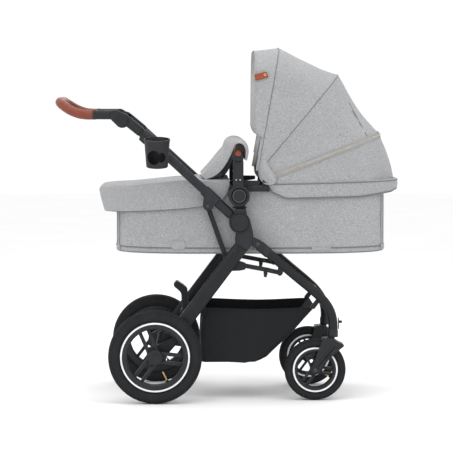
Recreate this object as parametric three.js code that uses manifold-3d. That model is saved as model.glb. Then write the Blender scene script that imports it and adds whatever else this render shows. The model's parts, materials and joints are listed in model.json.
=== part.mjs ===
// Baby stroller with a carrycot: a folding chassis on four wheels, a leather handlebar with a
// cup holder, a shopping basket, and a soft carrycot with an apron and a three-part hood.
// Millimetres, +Z up, +X in the direction of travel, +Y to the stroller's left.
// Every size below is measured from the rear axle (X), the plane midway between the wheels (Y)
// and the ground (Z). The last lines move the whole model so that its origin lies at the bottom
// centre of its bounding box.
import * as THREE from 'three';
import { mergeVertices } from 'three/addons/utils/BufferGeometryUtils.js';
import Module from 'manifold-3d';

const wasm = await Module();
wasm.setup();

// ---------------------------------------------------------------- driving dimensions
const REAR_WHEEL = { radius: 145, bead: 108.3, opening: 87, hub: 24, width: 48, track: 275 };
const FRONT_WHEEL = { radius: 95.7, bead: 71, opening: 55, hub: 16, width: 42, track: 193 };
const WHEELBASE = 498.7;
const AXLE_RADIUS = 7.5;
const BOLT_RADIUS = 5;
const GAP = 0.3;

const FOLD = { x: 262, z: 557, radius: 33 };
const COT_PIVOT = { x: 260, z: 640, radius: 33 };
const FRONT_PIVOT = { x: 318, z: 491, radius: 14 };
const LINK_TOP = { x: 163, z: 608 };
const LINK_FOOT = { x: 226, z: 430 };
const BRACE_TOP = { x: 274, z: 422 };
const BRACE_KNEE = { x: 354, z: 407 };
const BRACE_FOOT = { x: 387, z: 400 };
const HANDLE_PIVOT = { x: -100, z: 873, radius: 23 };
const SWIVEL = { x: 554, base: 197 };
const BRAKE_PIVOT = { x: 97, z: 258, radius: 12 };

const HANDLE_ANGLE = 137.4;
const HANDLE_TUBE = { radius: 13.5, lower: 15, socket: 93, length: 448, y: 235 };
const LEG = { width: 45, inner: 222, outer: 248, top: [268.5, 484.5], slope: [-0.601, -0.799] };
const HOUSING = { inner: 212, slot: 225, slotEnd: 245, outer: 256 };

const TUB = { rear: -121, front: 716, half: 196, floor: 457, rim: 655, corner: 45, wall: 8 };
const SKIRT_HALF = 203;
const HOOD_PIVOT = { x: 338, z: 700 };
const HOOD = { half: 200, corner: 90, skin: 5, root: 16 };
const BUMPER = { y: 235, rise: 741, crossbar: 799 };
const BASKET = { half: 172, skin: 4 };
const CUP = { x: 7.5, y: 289.4, z: 731, low: 33, high: 39.5, height: 87, skin: 3, lean: 9 };

// ---------------------------------------------------------------- materials
const material = (color, roughness, metalness = 0) =>
  new THREE.MeshStandardMaterial({ color, roughness, metalness });
const ALUMINIUM = material(0x34373b, 0.42, 0.35);
const PLASTIC = material(0x2e3134, 0.55);
const RUBBER = material(0x232427, 0.85);
const LEATHER = material(0x8f5142, 0.5);
const FABRIC = material(0xbfc0c4, 0.95);
const MESH_FABRIC = material(0x1f2124, 0.95);
const STEEL = material(0x8c8f94, 0.35, 0.9);

// ---------------------------------------------------------------- solids
const radians = THREE.MathUtils.degToRad;

// A closed geometry with shared vertices and outward faces.
function closed(geometry) {
  const bare = geometry.index ? geometry.toNonIndexed() : geometry.clone();
  bare.deleteAttribute('normal');
  bare.deleteAttribute('uv');
  const merged = mergeVertices(bare, 1e-3);
  const position = merged.attributes.position;
  const index = Array.from(merged.index.array);
  const kept = [];
  let volume = 0;
  const [a, b, c] = [new THREE.Vector3(), new THREE.Vector3(), new THREE.Vector3()];
  for (let i = 0; i < index.length; i += 3) {
    const corner = index.slice(i, i + 3);
    if (new Set(corner).size < 3) continue;
    a.fromBufferAttribute(position, corner[0]);
    b.fromBufferAttribute(position, corner[1]);
    c.fromBufferAttribute(position, corner[2]);
    volume += a.dot(b.cross(c)) / 6;
    kept.push(...corner);
  }
  if (volume < 0) kept.reverse();
  merged.setIndex(kept);
  return merged;
}

function solid(geometry) {
  const shell = closed(geometry);
  const mesh = new wasm.Mesh({
    numProp: 3,
    vertProperties: new Float32Array(shell.attributes.position.array),
    triVerts: new Uint32Array(shell.index.array),
  });
  return new wasm.Manifold(mesh);
}

function geometryOf(manifold) {
  const mesh = manifold.getMesh();
  const geometry = new THREE.BufferGeometry();
  geometry.setAttribute('position', new THREE.BufferAttribute(mesh.vertProperties, 3));
  geometry.setIndex(new THREE.BufferAttribute(mesh.triVerts, 1));
  return geometry;
}

const join = (...geometries) =>
  geometryOf(geometries.map(solid).reduce((whole, next) => whole.add(next)));
const cut = (geometry, ...tools) =>
  geometryOf(tools.map(solid).reduce((whole, tool) => whole.subtract(tool), solid(geometry)));

// ---------------------------------------------------------------- shapes
function outline(points) {
  return new THREE.Shape(points.map(([x, z]) => new THREE.Vector2(x, z)));
}

// A side-view shape given thickness from y = low to y = high, its edges rounded by bevel.
function plate(shape, low, high, bevel = 0) {
  const geometry = new THREE.ExtrudeGeometry(shape, {
    depth: high - low - 2 * bevel,
    curveSegments: 8,
    bevelEnabled: bevel > 0,
    bevelThickness: bevel,
    bevelSize: bevel,
    bevelOffset: -bevel,
    bevelSegments: 2,
  });
  return geometry.rotateX(Math.PI / 2).translate(0, high - bevel, 0);
}

// A plan-view shape given height from z = low to z = high.
function slab(shape, low, high) {
  return new THREE.ExtrudeGeometry(shape, {
    depth: high - low,
    curveSegments: 5,
    bevelEnabled: false,
  }).translate(0, 0, low);
}

function disc({ x, z }, radius, low, high, sides = 20) {
  return new THREE.CylinderGeometry(radius, radius, high - low, sides)
    .translate(x, (low + high) / 2, z);
}

// A round bar between two points.
function rod(from, to, radius, sides = 14) {
  const [start, end] = [new THREE.Vector3(...from), new THREE.Vector3(...to)];
  const along = end.clone().sub(start);
  const turn = new THREE.Quaternion().setFromUnitVectors(
    new THREE.Vector3(0, 1, 0), along.clone().normalize());
  return new THREE.CylinderGeometry(radius, radius, along.length(), sides)
    .applyQuaternion(turn)
    .translate(...start.add(end).divideScalar(2).toArray());
}

// A round tube along a smooth curve through the points.
function bentTube(points, radius, steps, sides = 10) {
  const path = new THREE.CatmullRomCurve3(
    points.map((point) => new THREE.Vector3(...point)), false, 'centripetal');
  const section = new THREE.Shape();
  section.absarc(0, 0, radius, 0, 2 * Math.PI);
  return new THREE.ExtrudeGeometry(section, {
    steps, extrudePath: path, curveSegments: sides / 2, bevelEnabled: false,
  });
}

function roundedPlan(rear, front, half, corner) {
  const shape = new THREE.Shape();
  shape.absarc(front - corner, half - corner, corner, 0, Math.PI / 2);
  shape.absarc(rear + corner, half - corner, corner, Math.PI / 2, Math.PI);
  shape.absarc(rear + corner, corner - half, corner, Math.PI, 1.5 * Math.PI);
  shape.absarc(front - corner, corner - half, corner, 1.5 * Math.PI, 2 * Math.PI);
  return shape;
}

// A flat link in side view with round ends about two pivots.
function linkShape(from, to, radius) {
  const heading = Math.atan2(to.z - from.z, to.x - from.x);
  const shape = new THREE.Shape();
  shape.absarc(from.x, from.z, radius, heading + Math.PI / 2, heading + 1.5 * Math.PI);
  shape.absarc(to.x, to.z, radius, heading - Math.PI / 2, heading + Math.PI / 2);
  return shape;
}

// A closed body through rings of equal point counts, with flat ends.
function loft(rings, ends) {
  const points = rings.flat(1);
  const count = rings[0].length;
  const faces = [];
  for (let ring = 0; ring < rings.length - 1; ring += 1) {
    for (let i = 0; i < count; i += 1) {
      const [a, b] = [ring * count + i, ring * count + (i + 1) % count];
      faces.push(a, b, b + count, a, b + count, a + count);
    }
  }
  const last = (rings.length - 1) * count;
  for (const [a, b, c] of THREE.ShapeUtils.triangulateShape(ends, [])) {
    faces.push(c, b, a, a + last, b + last, c + last);
  }
  const geometry = new THREE.BufferGeometry();
  geometry.setAttribute('position', new THREE.Float32BufferAttribute(points.flat(), 3));
  geometry.setIndex(faces);
  return geometry;
}

// ---------------------------------------------------------------- the model and its nodes
const stroller = new THREE.Group();

function node(name, geometry, finish) {
  const mesh = new THREE.Mesh(closed(geometry), finish);
  mesh.name = name;
  stroller.add(mesh);
}

// Left piece as built at +Y, right piece as its mirror image.
function sidePair(name, geometry, finish) {
  node(`${name}_L`, geometry, finish);
  node(`${name}_R`, geometry.clone().scale(1, -1, 1), finish);
}

// ---------------------------------------------------------------- wheels
function tyre(wheel) {
  const { radius, bead } = wheel;
  const half = wheel.width / 2;
  const profile = [
    [bead, -half + 4], [bead + 10, -half], [radius - 12, -half + 2], [radius - 3, -half + 10],
    [radius, 0], [radius - 3, half - 10], [radius - 12, half - 2], [bead + 10, half],
    [bead, half - 4], [bead, -half + 4],
  ];
  return new THREE.LatheGeometry(profile.map(([r, y]) => new THREE.Vector2(r, y)), 28);
}

function rim(wheel, bore) {
  const half = wheel.width / 2 - 4;
  const [outer, inner] = [wheel.bead - GAP, wheel.opening];
  const band = [[inner, -half], [outer, -half], [outer, half], [inner, half], [inner, -half]];
  const hub = [
    [bore, -half - 2], [wheel.hub, -half - 2], [wheel.hub, half], [bore, half], [bore, -half - 2]];
  const ring = (profile, sides) =>
    new THREE.LatheGeometry(profile.map(([r, y]) => new THREE.Vector2(r, y)), sides);
  const bars = [];
  for (const angle of [113, 233, 353]) {
    for (const offset of [-0.54, 0.54]) {
      const reach = (wheel.hub * 0.7 + inner + 4) / 2;
      const bar = new THREE.BoxGeometry(inner + 4 - wheel.hub * 0.7, 20, wheel.hub * 0.46);
      bars.push(bar.translate(reach, 0, offset * wheel.hub).rotateY(-radians(angle)));
    }
  }
  return join(ring(band, 28), ring(hub, 16), ...bars);
}

const rearTyre = tyre(REAR_WHEEL).translate(0, REAR_WHEEL.track, REAR_WHEEL.radius);
const rearRim = rim(REAR_WHEEL, AXLE_RADIUS + GAP)
  .translate(0, REAR_WHEEL.track, REAR_WHEEL.radius);
sidePair('tyre_rear', rearTyre, RUBBER);
sidePair('rim_rear', rearRim, PLASTIC);
const frontTyre = tyre(FRONT_WHEEL).translate(WHEELBASE, FRONT_WHEEL.track, FRONT_WHEEL.radius);
const frontRim = rim(FRONT_WHEEL, BOLT_RADIUS + GAP)
  .translate(WHEELBASE, FRONT_WHEEL.track, FRONT_WHEEL.radius);
sidePair('tyre_front', frontTyre, RUBBER);
sidePair('rim_front', frontRim, PLASTIC);

// ---------------------------------------------------------------- rear frame
const legPoint = (along, across) => [
  LEG.top[0] + LEG.slope[0] * along - LEG.slope[1] * across,
  LEG.top[1] + LEG.slope[1] * along + LEG.slope[0] * across];
const legHalf = LEG.width / 2;
const legLength = 352;

const braceLug = outline([
  [236, 406], [236, 436], [262, 437], [281, 431], [285, 419], [278, 410], [262, 407]]);
const rearLeg = join(
  plate(outline([
    legPoint(0.5, -legHalf), legPoint(0.5, legHalf),
    legPoint(legLength, legHalf), legPoint(legLength, -legHalf)]),
  LEG.inner, LEG.outer, 7),
  plate(braceLug, 209, LEG.inner + 4));
sidePair('rear_leg', rearLeg, ALUMINIUM);

// Fold housing: two cheeks about the fold pivot, an elbow down to the leg, a neck up to the cot
// socket and an ear for the front leg.
const housingBody = outline([
  [249, 601], [281, 601], [284, 575], [295, 560], [304, 522], [301, 492],
  legPoint(0, legHalf), legPoint(0, -legHalf), [248, 508], [251, 530], [240, 557], [247, 584]]);
const earShape = linkShape({ x: 292, z: 505 }, FRONT_PIVOT, 14);
const hubHousing = join(
  cut(
    join(
      plate(housingBody, HOUSING.inner, HOUSING.outer),
      disc(FOLD, FOLD.radius, HOUSING.inner, HOUSING.outer)),
    disc(FOLD, FOLD.radius + 0.8, HOUSING.slot, HOUSING.slotEnd),
    disc(FOLD, 26.4, HOUSING.outer - 6, HOUSING.outer + 1)),
  plate(earShape, 243, 252),
  disc(FOLD, 7, HOUSING.slot - 1, HOUSING.slotEnd + 1, 16));
sidePair('hub_housing', hubHousing, PLASTIC);
sidePair('fold_button', disc(FOLD, 26, HOUSING.outer - 1.7, HOUSING.outer + 6), PLASTIC);

// Axle housing: a cheek from the leg's foot down to the wheel's stub axle.
const legFoot = { x: legPoint(legLength + 8, 0)[0], z: legPoint(legLength + 8, 0)[1] };
const axle = { x: 0, z: REAR_WHEEL.radius };
const housingFoot = new THREE.Shape();
housingFoot.absarc(axle.x, axle.z, 27, radians(135), radians(315));
for (const [across, along] of [[legHalf + 3, 10], [legHalf + 3, 0.5], [-legHalf - 3, 0.5]]) {
  housingFoot.lineTo(...legPoint(legLength + along, across));
}
const axleHousing = cut(
  plate(housingFoot, 217, 247, 2),
  disc(axle, AXLE_RADIUS + GAP, 230, 250, 16));
sidePair('axle_housing', axleHousing, PLASTIC);
sidePair('rear_axle', disc(axle, AXLE_RADIUS, 230.5, 297, 16), STEEL);

node('rear_crossbar', disc(BRAKE_PIVOT, BRAKE_PIVOT.radius, -221.5, 221.5, 16), ALUMINIUM);
const pedalArm = outline([
  [84, 262], [81, 322], [57, 343], [55, 349], [66, 360], [72, 358], [101, 336], [108, 262]]);
const brakePedal = cut(
  join(plate(pedalArm, -30, 30), disc(BRAKE_PIVOT, 18, -34, 34, 20)),
  disc(BRAKE_PIVOT, BRAKE_PIVOT.radius + GAP, -40, 40, 16));
node('brake_pedal', brakePedal, PLASTIC);

// ---------------------------------------------------------------- front frame
const swivelAxis = { x: SWIVEL.x, y: FRONT_WHEEL.track };
const kneePath = [
  [322, 228, 487], [445, 210, 382], [494, 200, 341], [524, 195.5, 312], [542, 193.3, 286],
  [551, 193, 262], [554, 193, 238], [554, 193, 200]];
const stemBore = rod([SWIVEL.x, swivelAxis.y, 190], [SWIVEL.x, swivelAxis.y, 236], 6.4, 14);
const frontLeg = cut(
  join(
    bentTube(kneePath, 14.5, 14, 10),
    disc(FRONT_PIVOT, FRONT_PIVOT.radius, 214, 242.7, 20),
    rod([SWIVEL.x, swivelAxis.y, SWIVEL.base], [SWIVEL.x, swivelAxis.y, 220], 16.5, 18),
    plate(linkShape(BRACE_FOOT, { x: 392, z: 420 }, 9), 218, 226)),
  stemBore);
sidePair('front_leg', frontLeg, ALUMINIUM);
node('front_crossbar', disc({ x: 514, z: 321 }, 9, -180.5, 180.5, 14), ALUMINIUM);

const lockPlate = new THREE.BoxGeometry(3.2, 12, 37).translate(571.3, swivelAxis.y, 239.5);
const lockKnob = new THREE.BoxGeometry(11, 9, 8).translate(578, swivelAxis.y, 244.5);
sidePair('swivel_lock', join(lockPlate, lockKnob), PLASTIC);

const forkSide = outline([
  [519, 196], [490, 108], [487, 96], [490, 87], [498.7, 82.7], [509, 85], [540, 130],
  [573, 158], [588, 172], [586, 176], [571, 183], [549, 196]]);
const frontAxle = { x: WHEELBASE, z: FRONT_WHEEL.radius };
const forkSpan = 32;
const fork = join(
  cut(
    plate(forkSide, swivelAxis.y - forkSpan, swivelAxis.y + forkSpan, 3),
    disc(frontAxle, FRONT_WHEEL.radius + 5, swivelAxis.y - 24.3, swivelAxis.y + 24.3, 32)),
  disc(frontAxle, BOLT_RADIUS, swivelAxis.y - 28, swivelAxis.y + 28, 14),
  rod([SWIVEL.x, swivelAxis.y, 188], [SWIVEL.x, swivelAxis.y, 234], 6, 14));
sidePair('fork', fork, PLASTIC);

// Two-part folding brace between the rear leg and the front leg, its knee left open.
const braceRear = plate(linkShape(BRACE_TOP, BRACE_KNEE, 7), 199, 208.5);
const braceFront = plate(linkShape(BRACE_KNEE, BRACE_FOOT, 7), 209, 217.5);
sidePair('brace_rear', braceRear, PLASTIC);
sidePair('brace_front', braceFront, PLASTIC);

// ---------------------------------------------------------------- handle frame
const tubeDirection = [Math.cos(radians(HANDLE_ANGLE)), Math.sin(radians(HANDLE_ANGLE))];
const onTube = (along, y = HANDLE_TUBE.y) => [
  FOLD.x + along * tubeDirection[0], y, FOLD.z + along * tubeDirection[1]];
const beside = (along, across) => [
  FOLD.x + along * tubeDirection[0] - across * tubeDirection[1],
  FOLD.z + along * tubeDirection[1] + across * tubeDirection[0]];

const [eyeLow, eyeHigh] = [HOUSING.slot + 0.4, HOUSING.slotEnd - 0.4];
const handleTube = cut(
  join(
    disc(FOLD, FOLD.radius - 1, eyeLow, eyeHigh),
    plate(outline([beside(10, -11), beside(46, -11), beside(46, 11), beside(10, 11)]),
      eyeLow, eyeHigh),
    rod(onTube(FOLD.radius + 2), onTube(HANDLE_TUBE.socket - 1), HANDLE_TUBE.lower, 16),
    rod(onTube(60), onTube(HANDLE_TUBE.length), HANDLE_TUBE.radius, 16)),
  disc(FOLD, 7 + GAP, eyeLow - 1, eyeHigh + 1, 16));
sidePair('handle_tube', handleTube, ALUMINIUM);

const [pinX, pinZ] = [HANDLE_PIVOT.x, HANDLE_PIVOT.z];
const [cheekLow, cheekHigh] = [HANDLE_TUBE.y - 14.5, HANDLE_TUBE.y + 14.5];
const knuckle = cut(
  join(
    plate(outline([
      beside(HANDLE_TUBE.length + GAP, 14.5), beside(HANDLE_TUBE.length + GAP, -14.5),
      [pinX + 16, pinZ + 21], [pinX, pinZ + 16], [pinX, pinZ - 16], [pinX + 16, pinZ - 20]]),
    cheekLow, cheekHigh, 3),
    disc(HANDLE_PIVOT, HANDLE_PIVOT.radius, cheekLow, HANDLE_TUBE.y - 0.2)),
  disc(HANDLE_PIVOT, HANDLE_PIVOT.radius + 0.8, HANDLE_TUBE.y, cheekHigh + 1));
sidePair('handle_knuckle', knuckle, PLASTIC);

const armLevel = 890.5;
const armEnd = -191;
const handleArm = cut(
  join(
    disc(HANDLE_PIVOT, HANDLE_PIVOT.radius, HANDLE_TUBE.y + 0.2, cheekHigh + 1),
    plate(outline([
      [pinX, pinZ + 22.5], [pinX - 34, armLevel + 14], [pinX - 34, armLevel - 14],
      [pinX - 12, pinZ - 18]]), HANDLE_TUBE.y + 0.2, cheekHigh),
    rod([pinX - 29, HANDLE_TUBE.y - 3, armLevel], [armEnd, HANDLE_TUBE.y - 5, armLevel], 14.5, 16)),
  disc(HANDLE_PIVOT, 18.4, cheekHigh - 8.5, cheekHigh + 2));
sidePair('handle_arm', handleArm, PLASTIC);
sidePair('handle_button', disc(HANDLE_PIVOT, 18, cheekHigh - 4.2, cheekHigh + 6.5), PLASTIC);

const halfGrip = [
  [armEnd - 2 * GAP, 230, armLevel], [-210, 230, armLevel], [-232, 228, 893.5],
  [-258, 219, 903], [-281, 195, 917], [-293, 162, 926], [-296, 110, 929]];
const gripPath = [
  ...halfGrip, [-296, 0, 929], ...halfGrip.map(([x, y, z]) => [x, -y, z]).reverse()];
node('handle_grip', bentTube(gripPath, 15, 24, 10), LEATHER);

// Sleeve that slides on the handle tube, with a lobe for the side link's pin.
const lobe = outline([
  beside(146, -6), [151, 637], [148, 610], [153, 598], [165, 593.5], [176, 598], beside(94, 8)]);
const sleeve = cut(
  join(
    rod(onTube(HANDLE_TUBE.socket + 0.5), onTube(150), 16.8, 18),
    plate(lobe, 220.5, 249.5)),
  rod(onTube(80), onTube(170), HANDLE_TUBE.radius + GAP, 16));
sidePair('sleeve', sleeve, PLASTIC);
sidePair('side_link', plate(linkShape(LINK_TOP, LINK_FOOT, 7.5), 209.5, 217.2), ALUMINIUM);

// ---------------------------------------------------------------- cup holder on the right tube
const clipSeat = 392;
const cupClip = cut(
  join(
    rod(onTube(clipSeat - 14), onTube(clipSeat + 14), 19, 18),
    new THREE.BoxGeometry(22, 14, 34).translate(onTube(clipSeat)[0] + 6, 254.5, 808)),
  rod(onTube(clipSeat - 30), onTube(clipSeat + 30), HANDLE_TUBE.radius + GAP, 16));
node('cup_clip', cupClip.scale(1, -1, 1), PLASTIC);

const cupProfile = [
  [0, 0], [CUP.low, 0], [CUP.high, CUP.height], [CUP.high - CUP.skin, CUP.height],
  [CUP.low - CUP.skin, CUP.skin + 1], [0, CUP.skin + 1]];
const cupShell = new THREE.LatheGeometry(
  cupProfile.map(([r, z]) => new THREE.Vector2(r, z)), 28).rotateX(Math.PI / 2);
const window = (x, radius, height) =>
  new THREE.CylinderGeometry(radius, radius, 30, 20).scale(1, 1, height / radius)
    .translate(x, -CUP.low, 43);
const cup = cut(cupShell, window(-16, 16, 22), window(13, 14, 17))
  .rotateX(radians(CUP.lean)).translate(CUP.x, -CUP.y - 1.5, CUP.z);
node('cup', cup, PLASTIC);

// ---------------------------------------------------------------- basket
function tray(sideOuter, sideInner, half, skin) {
  return cut(
    plate(outline(sideOuter), -half, half),
    plate(outline(sideInner), skin - half, half - skin));
}
const basket = tray(
  [[150, 286], [141, 200], [143, 117], [281, 110], [347, 129], [391, 171], [441, 221], [500, 286]],
  [[154, 300], [145, 200], [147, 121], [280, 114], [345, 133], [388, 174], [438, 224], [508, 300]],
  BASKET.half, BASKET.skin);
node('basket', basket, MESH_FABRIC);

// ---------------------------------------------------------------- carrycot
const tubOuter = roundedPlan(TUB.rear, TUB.front, TUB.half, TUB.corner);
const tubInner = roundedPlan(
  TUB.rear + TUB.wall, TUB.front - TUB.wall, TUB.half - TUB.wall, TUB.corner - TUB.wall);
const cotFloor = TUB.floor + 12;
const cotTub = cut(slab(tubOuter, TUB.floor, TUB.rim), slab(tubInner, cotFloor, TUB.rim + 10));
node('cot_tub', cotTub, FABRIC);
const mattressPlan = roundedPlan(-108, 703, 183, 36);
node('mattress', slab(mattressPlan, cotFloor + 0.5, cotFloor + 34), FABRIC);

const apronOuter = outline([
  [-152, 592], [-171, 656], [-160, 667], [-75, 672], [0, 681], [130, 692], [226, 690],
  [231, 684], [226, 655], [208, 627], [150, 607]]);
const apronInner = outline([
  [-146, 580], [-164, 655], [-156, 661], [-75, 666], [0, 675], [130, 686], [240, 684], [240, 580]]);
node('apron', cut(
  plate(apronOuter, -SKIRT_HALF, SKIRT_HALF, 5),
  plate(apronInner, 5.5 - SKIRT_HALF, SKIRT_HALF - 5.5)), FABRIC);

// The apron's upper flap, hooked over the bumper bar and hanging behind it.
node('apron_flap', plate(outline([
  [140, 696], [219, 782], [229, 806], [243, 816.5], [263, 817], [280, 808], [289, 780], [285, 746],
  [281, 746], [285, 780], [277, 805], [262, 813.3], [244, 813], [232, 803], [222, 779],
  [145, 696]]), -186, 186), FABRIC);

// Cot hub: the disc that plugs into the chassis, with the arm that carries the hood's hinge.
const hubPlane = { low: 213, high: 234.7 };
const cotHub = join(
  disc(COT_PIVOT, COT_PIVOT.radius, hubPlane.low, hubPlane.high),
  disc(COT_PIVOT, 16, TUB.half + GAP, hubPlane.low + 2, 18),
  plate(outline([[246, 612], [246, 606], [240, 606], [240, 601.5], [284, 601.5], [284, 606],
    [279, 606], [279, 612]]), hubPlane.low, hubPlane.high),
  plate(outline([[270, 652], [270, 686], [322, 686], [328, 694], [338, 700], [352, 694],
    [356, 668], [356, 652]]), 206, 216.5, 3),
  disc(HOOD_PIVOT, 11, 205, 214, 18));
sidePair('cot_hub', cotHub, PLASTIC);
sidePair('cot_button', disc(COT_PIVOT, 20, 240, 258), PLASTIC);

// Bumper bar: two arms about the cot hubs, a knuckle on each, and the leather bar across.
const armHalf = 16.5;
const [bumperIn, bumperOut] = [BUMPER.y, BUMPER.y + 17];
const barX = COT_PIVOT.x - 3;
const bumperArm = cut(
  join(
    disc(COT_PIVOT, COT_PIVOT.radius, bumperIn, bumperOut),
    plate(outline([
      [barX - armHalf, COT_PIVOT.z], [barX + armHalf, COT_PIVOT.z],
      [barX + armHalf, BUMPER.rise + 12], [barX - armHalf, BUMPER.rise + 12]]),
    bumperIn, bumperOut, 2),
    disc({ x: barX, z: BUMPER.rise + 17 }, 17, bumperIn - 1, bumperOut, 20)),
  disc(COT_PIVOT, 20.4, bumperIn - 2, bumperOut + 2));
const halfBar = [
  [barX, 243, 760], [barX, 243, 774], [barX, 236, 791], [barX, 216, BUMPER.crossbar],
  [barX, 190, BUMPER.crossbar]];
const barPath = [...halfBar, [barX, 0, BUMPER.crossbar],
  ...halfBar.map(([x, y, z]) => [x, -y, z]).reverse()];
node('bumper_bar', join(
  bumperArm, bumperArm.clone().scale(1, -1, 1), bentTube(barPath, 12.5, 20, 10)), PLASTIC);

// ---------------------------------------------------------------- hood
// A bow's cross-section: an upside-down U in the plane that leaves the pivot line at an angle.
function bowSection(foot, crown, half) {
  const section = [];
  const walk = (inset) => {
    const points = [[foot, -half + inset]];
    for (let i = 0; i <= 4; i += 1) {
      const turn = radians(22.5 * i);
      const reach = HOOD.corner - inset;
      points.push([crown - HOOD.corner + reach * Math.sin(turn),
        -half + HOOD.corner - reach * Math.cos(turn)]);
    }
    return [...points, ...points.map(([r, y]) => [r, -y]).reverse()];
  };
  section.push(...walk(0), ...walk(HOOD.skin).reverse());
  return section;
}

function hoodShell(bows) {
  const rings = bows.map(({ angle, crown, foot = HOOD.root, shift = 0, half = HOOD.half }) => {
    const [cos, sin] = [Math.cos(radians(angle)), Math.sin(radians(angle))];
    return bowSection(foot, crown, half).map(([reach, y]) => [
      HOOD_PIVOT.x + shift + reach * cos, y, HOOD_PIVOT.z + reach * sin]);
  });
  const ends = bowSection(40, 400, HOOD.half).map(([r, y]) => new THREE.Vector2(r, y));
  return loft(rings, ends);
}

const frontPanel = hoodShell([
  { angle: 53.1, crown: 394 }, { angle: 59.3, crown: 380 }, { angle: 66, crown: 379 },
  { angle: 73, crown: 383 }, { angle: 82.9, crown: 402 }]);
const visor = hoodShell([
  { angle: 82, crown: 401.5, foot: 119 }, { angle: 90, crown: 390, foot: 152, shift: -26 }]);
node('hood_front', join(frontPanel, visor), FABRIC);
node('hood_mid', hoodShell([
  { angle: 19.2, crown: 390 }, { angle: 25, crown: 374 }, { angle: 31, crown: 365 },
  { angle: 42.4, crown: 369.5 }, { angle: 52.5, crown: 394 }]), FABRIC);

const rearPanel = hoodShell([{ angle: -1.5, crown: 413 }, { angle: 18.6, crown: 390 }]);
const skirtOuter = roundedPlan(200, 762, SKIRT_HALF, 60);
const skirtInner = roundedPlan(190, 756.5, SKIRT_HALF - 5.5, 55);
const ledgeInner = roundedPlan(190, 742, SKIRT_HALF - 11, 50);
const aheadOf = (x, low, high) =>
  new THREE.BoxGeometry(400, 500, high - low).translate(x - 200, 0, (low + high) / 2);
const skirt = cut(
  slab(skirtOuter, 640, 697), slab(skirtInner, 630, 690), slab(ledgeInner, 680, 710),
  aheadOf(358, 600, 720));
node('hood_rear', join(rearPanel, skirt), FABRIC);

// ---------------------------------------------------------------- origin
const bounds = new THREE.Box3().setFromObject(stroller);
stroller.position.set(
  -(bounds.min.x + bounds.max.x) / 2, -(bounds.min.y + bounds.max.y) / 2, -bounds.min.z);
stroller.updateMatrixWorld(true);

export default stroller;
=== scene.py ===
import json
import math

import bmesh
import bpy
import numpy as np
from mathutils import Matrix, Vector, noise


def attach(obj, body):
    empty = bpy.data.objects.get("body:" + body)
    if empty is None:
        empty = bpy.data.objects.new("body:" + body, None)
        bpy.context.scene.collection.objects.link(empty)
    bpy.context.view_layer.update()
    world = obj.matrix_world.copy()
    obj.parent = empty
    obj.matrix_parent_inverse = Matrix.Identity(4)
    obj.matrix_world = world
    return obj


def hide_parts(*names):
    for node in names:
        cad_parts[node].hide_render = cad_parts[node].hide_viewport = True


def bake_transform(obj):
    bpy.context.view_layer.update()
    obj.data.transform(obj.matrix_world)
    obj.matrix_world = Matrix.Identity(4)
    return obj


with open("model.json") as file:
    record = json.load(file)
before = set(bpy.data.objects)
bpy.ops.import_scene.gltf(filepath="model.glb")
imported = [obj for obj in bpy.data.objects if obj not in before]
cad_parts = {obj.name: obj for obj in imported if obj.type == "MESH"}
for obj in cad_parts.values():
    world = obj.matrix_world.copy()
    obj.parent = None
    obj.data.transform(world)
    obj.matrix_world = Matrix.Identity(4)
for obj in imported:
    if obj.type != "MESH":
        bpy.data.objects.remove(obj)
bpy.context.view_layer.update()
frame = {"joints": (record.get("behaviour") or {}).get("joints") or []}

# ---------------------------------------------------------------- driving dimensions
JOINT = {joint["name"]: joint for joint in frame["joints"]}
AXLES = [np.array(JOINT[f"rear_wheel_spin_{side}"]["pos_m"]) for side in "LR"]
ORIGIN = np.array([AXLES[0][0], (AXLES[0][1] + AXLES[1][1]) / 2, 0.0])

REAR_WHEEL = {"radius": 145, "bead": 108.3, "opening": 87, "hub": 24, "half": 24, "track": 275}
FRONT_WHEEL = {"radius": 95.7, "bead": 71, "opening": 55, "hub": 16, "half": 21, "track": 193}
WHEELBASE = 498.7

FOLD = (262, 557)
COT_PIVOT = (260, 640)
FRONT_PIVOT = (318, 491)
LINK_TOP, LINK_FOOT = (163, 608), (226, 430)
BRACE_TOP, BRACE_KNEE, BRACE_FOOT = (274, 422), (354, 407), (387, 400)
HANDLE_PIVOT = (-100, 873)
BRAKE_PIVOT = (97, 258)
SWIVEL_X = 554
HUB_RADIUS = 33

HANDLE_ANGLE = math.radians(137.4)
TUBE_Y = 235
LEG_TOP, LEG_SLOPE, LEG_LENGTH = (268.5, 484.5), (-0.601, -0.799), 352

TUB = {"rear": -121, "front": 716, "half": 196, "floor": 457, "rim": 655, "corner": 45}
TUB_MIDDLE, APRON_HALF = 297, 203
HOOD_PIVOT = (338, 700)
HOOD_HALF, HOOD_CORNER = 200, 90
ZIP_ANGLE, MID_ANGLE, FRONT_ANGLE = 19.0, 53.1, 82.9
HOOD_UP = (0.2, 0.3, 0.9)
BASKET_HALF, BASKET_FOLD = 172, ((160, 0, 286), (484, 0, 286))
CUP = {"x": 7.5, "y": 289.4, "z": 731, "low": 33, "high": 39.5, "height": 87, "lean": 9}


# ---------------------------------------------------------------- points and shapes
# A shape is (points, faces): an array of points in millimetres and tuples of point numbers.
def place(points):
    return np.asarray(points, float).reshape(-1, 3) / 1000 + ORIGIN


def unit(vector):
    return np.asarray(vector, float) / np.linalg.norm(vector)


def joined(*shapes):
    points, faces, count = [], [], 0
    for some_points, some_faces in shapes:
        points.append(np.asarray(some_points, float).reshape(-1, 3))
        faces += [tuple(i + count for i in face) for face in some_faces]
        count += len(points[-1])
    return np.concatenate(points), faces


def mirrored(shape):
    points, faces = shape
    return points * (1, -1, 1), [tuple(reversed(face)) for face in faces]


def moved(shape, offset):
    return shape[0] + np.asarray(offset, float), shape[1]


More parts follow.
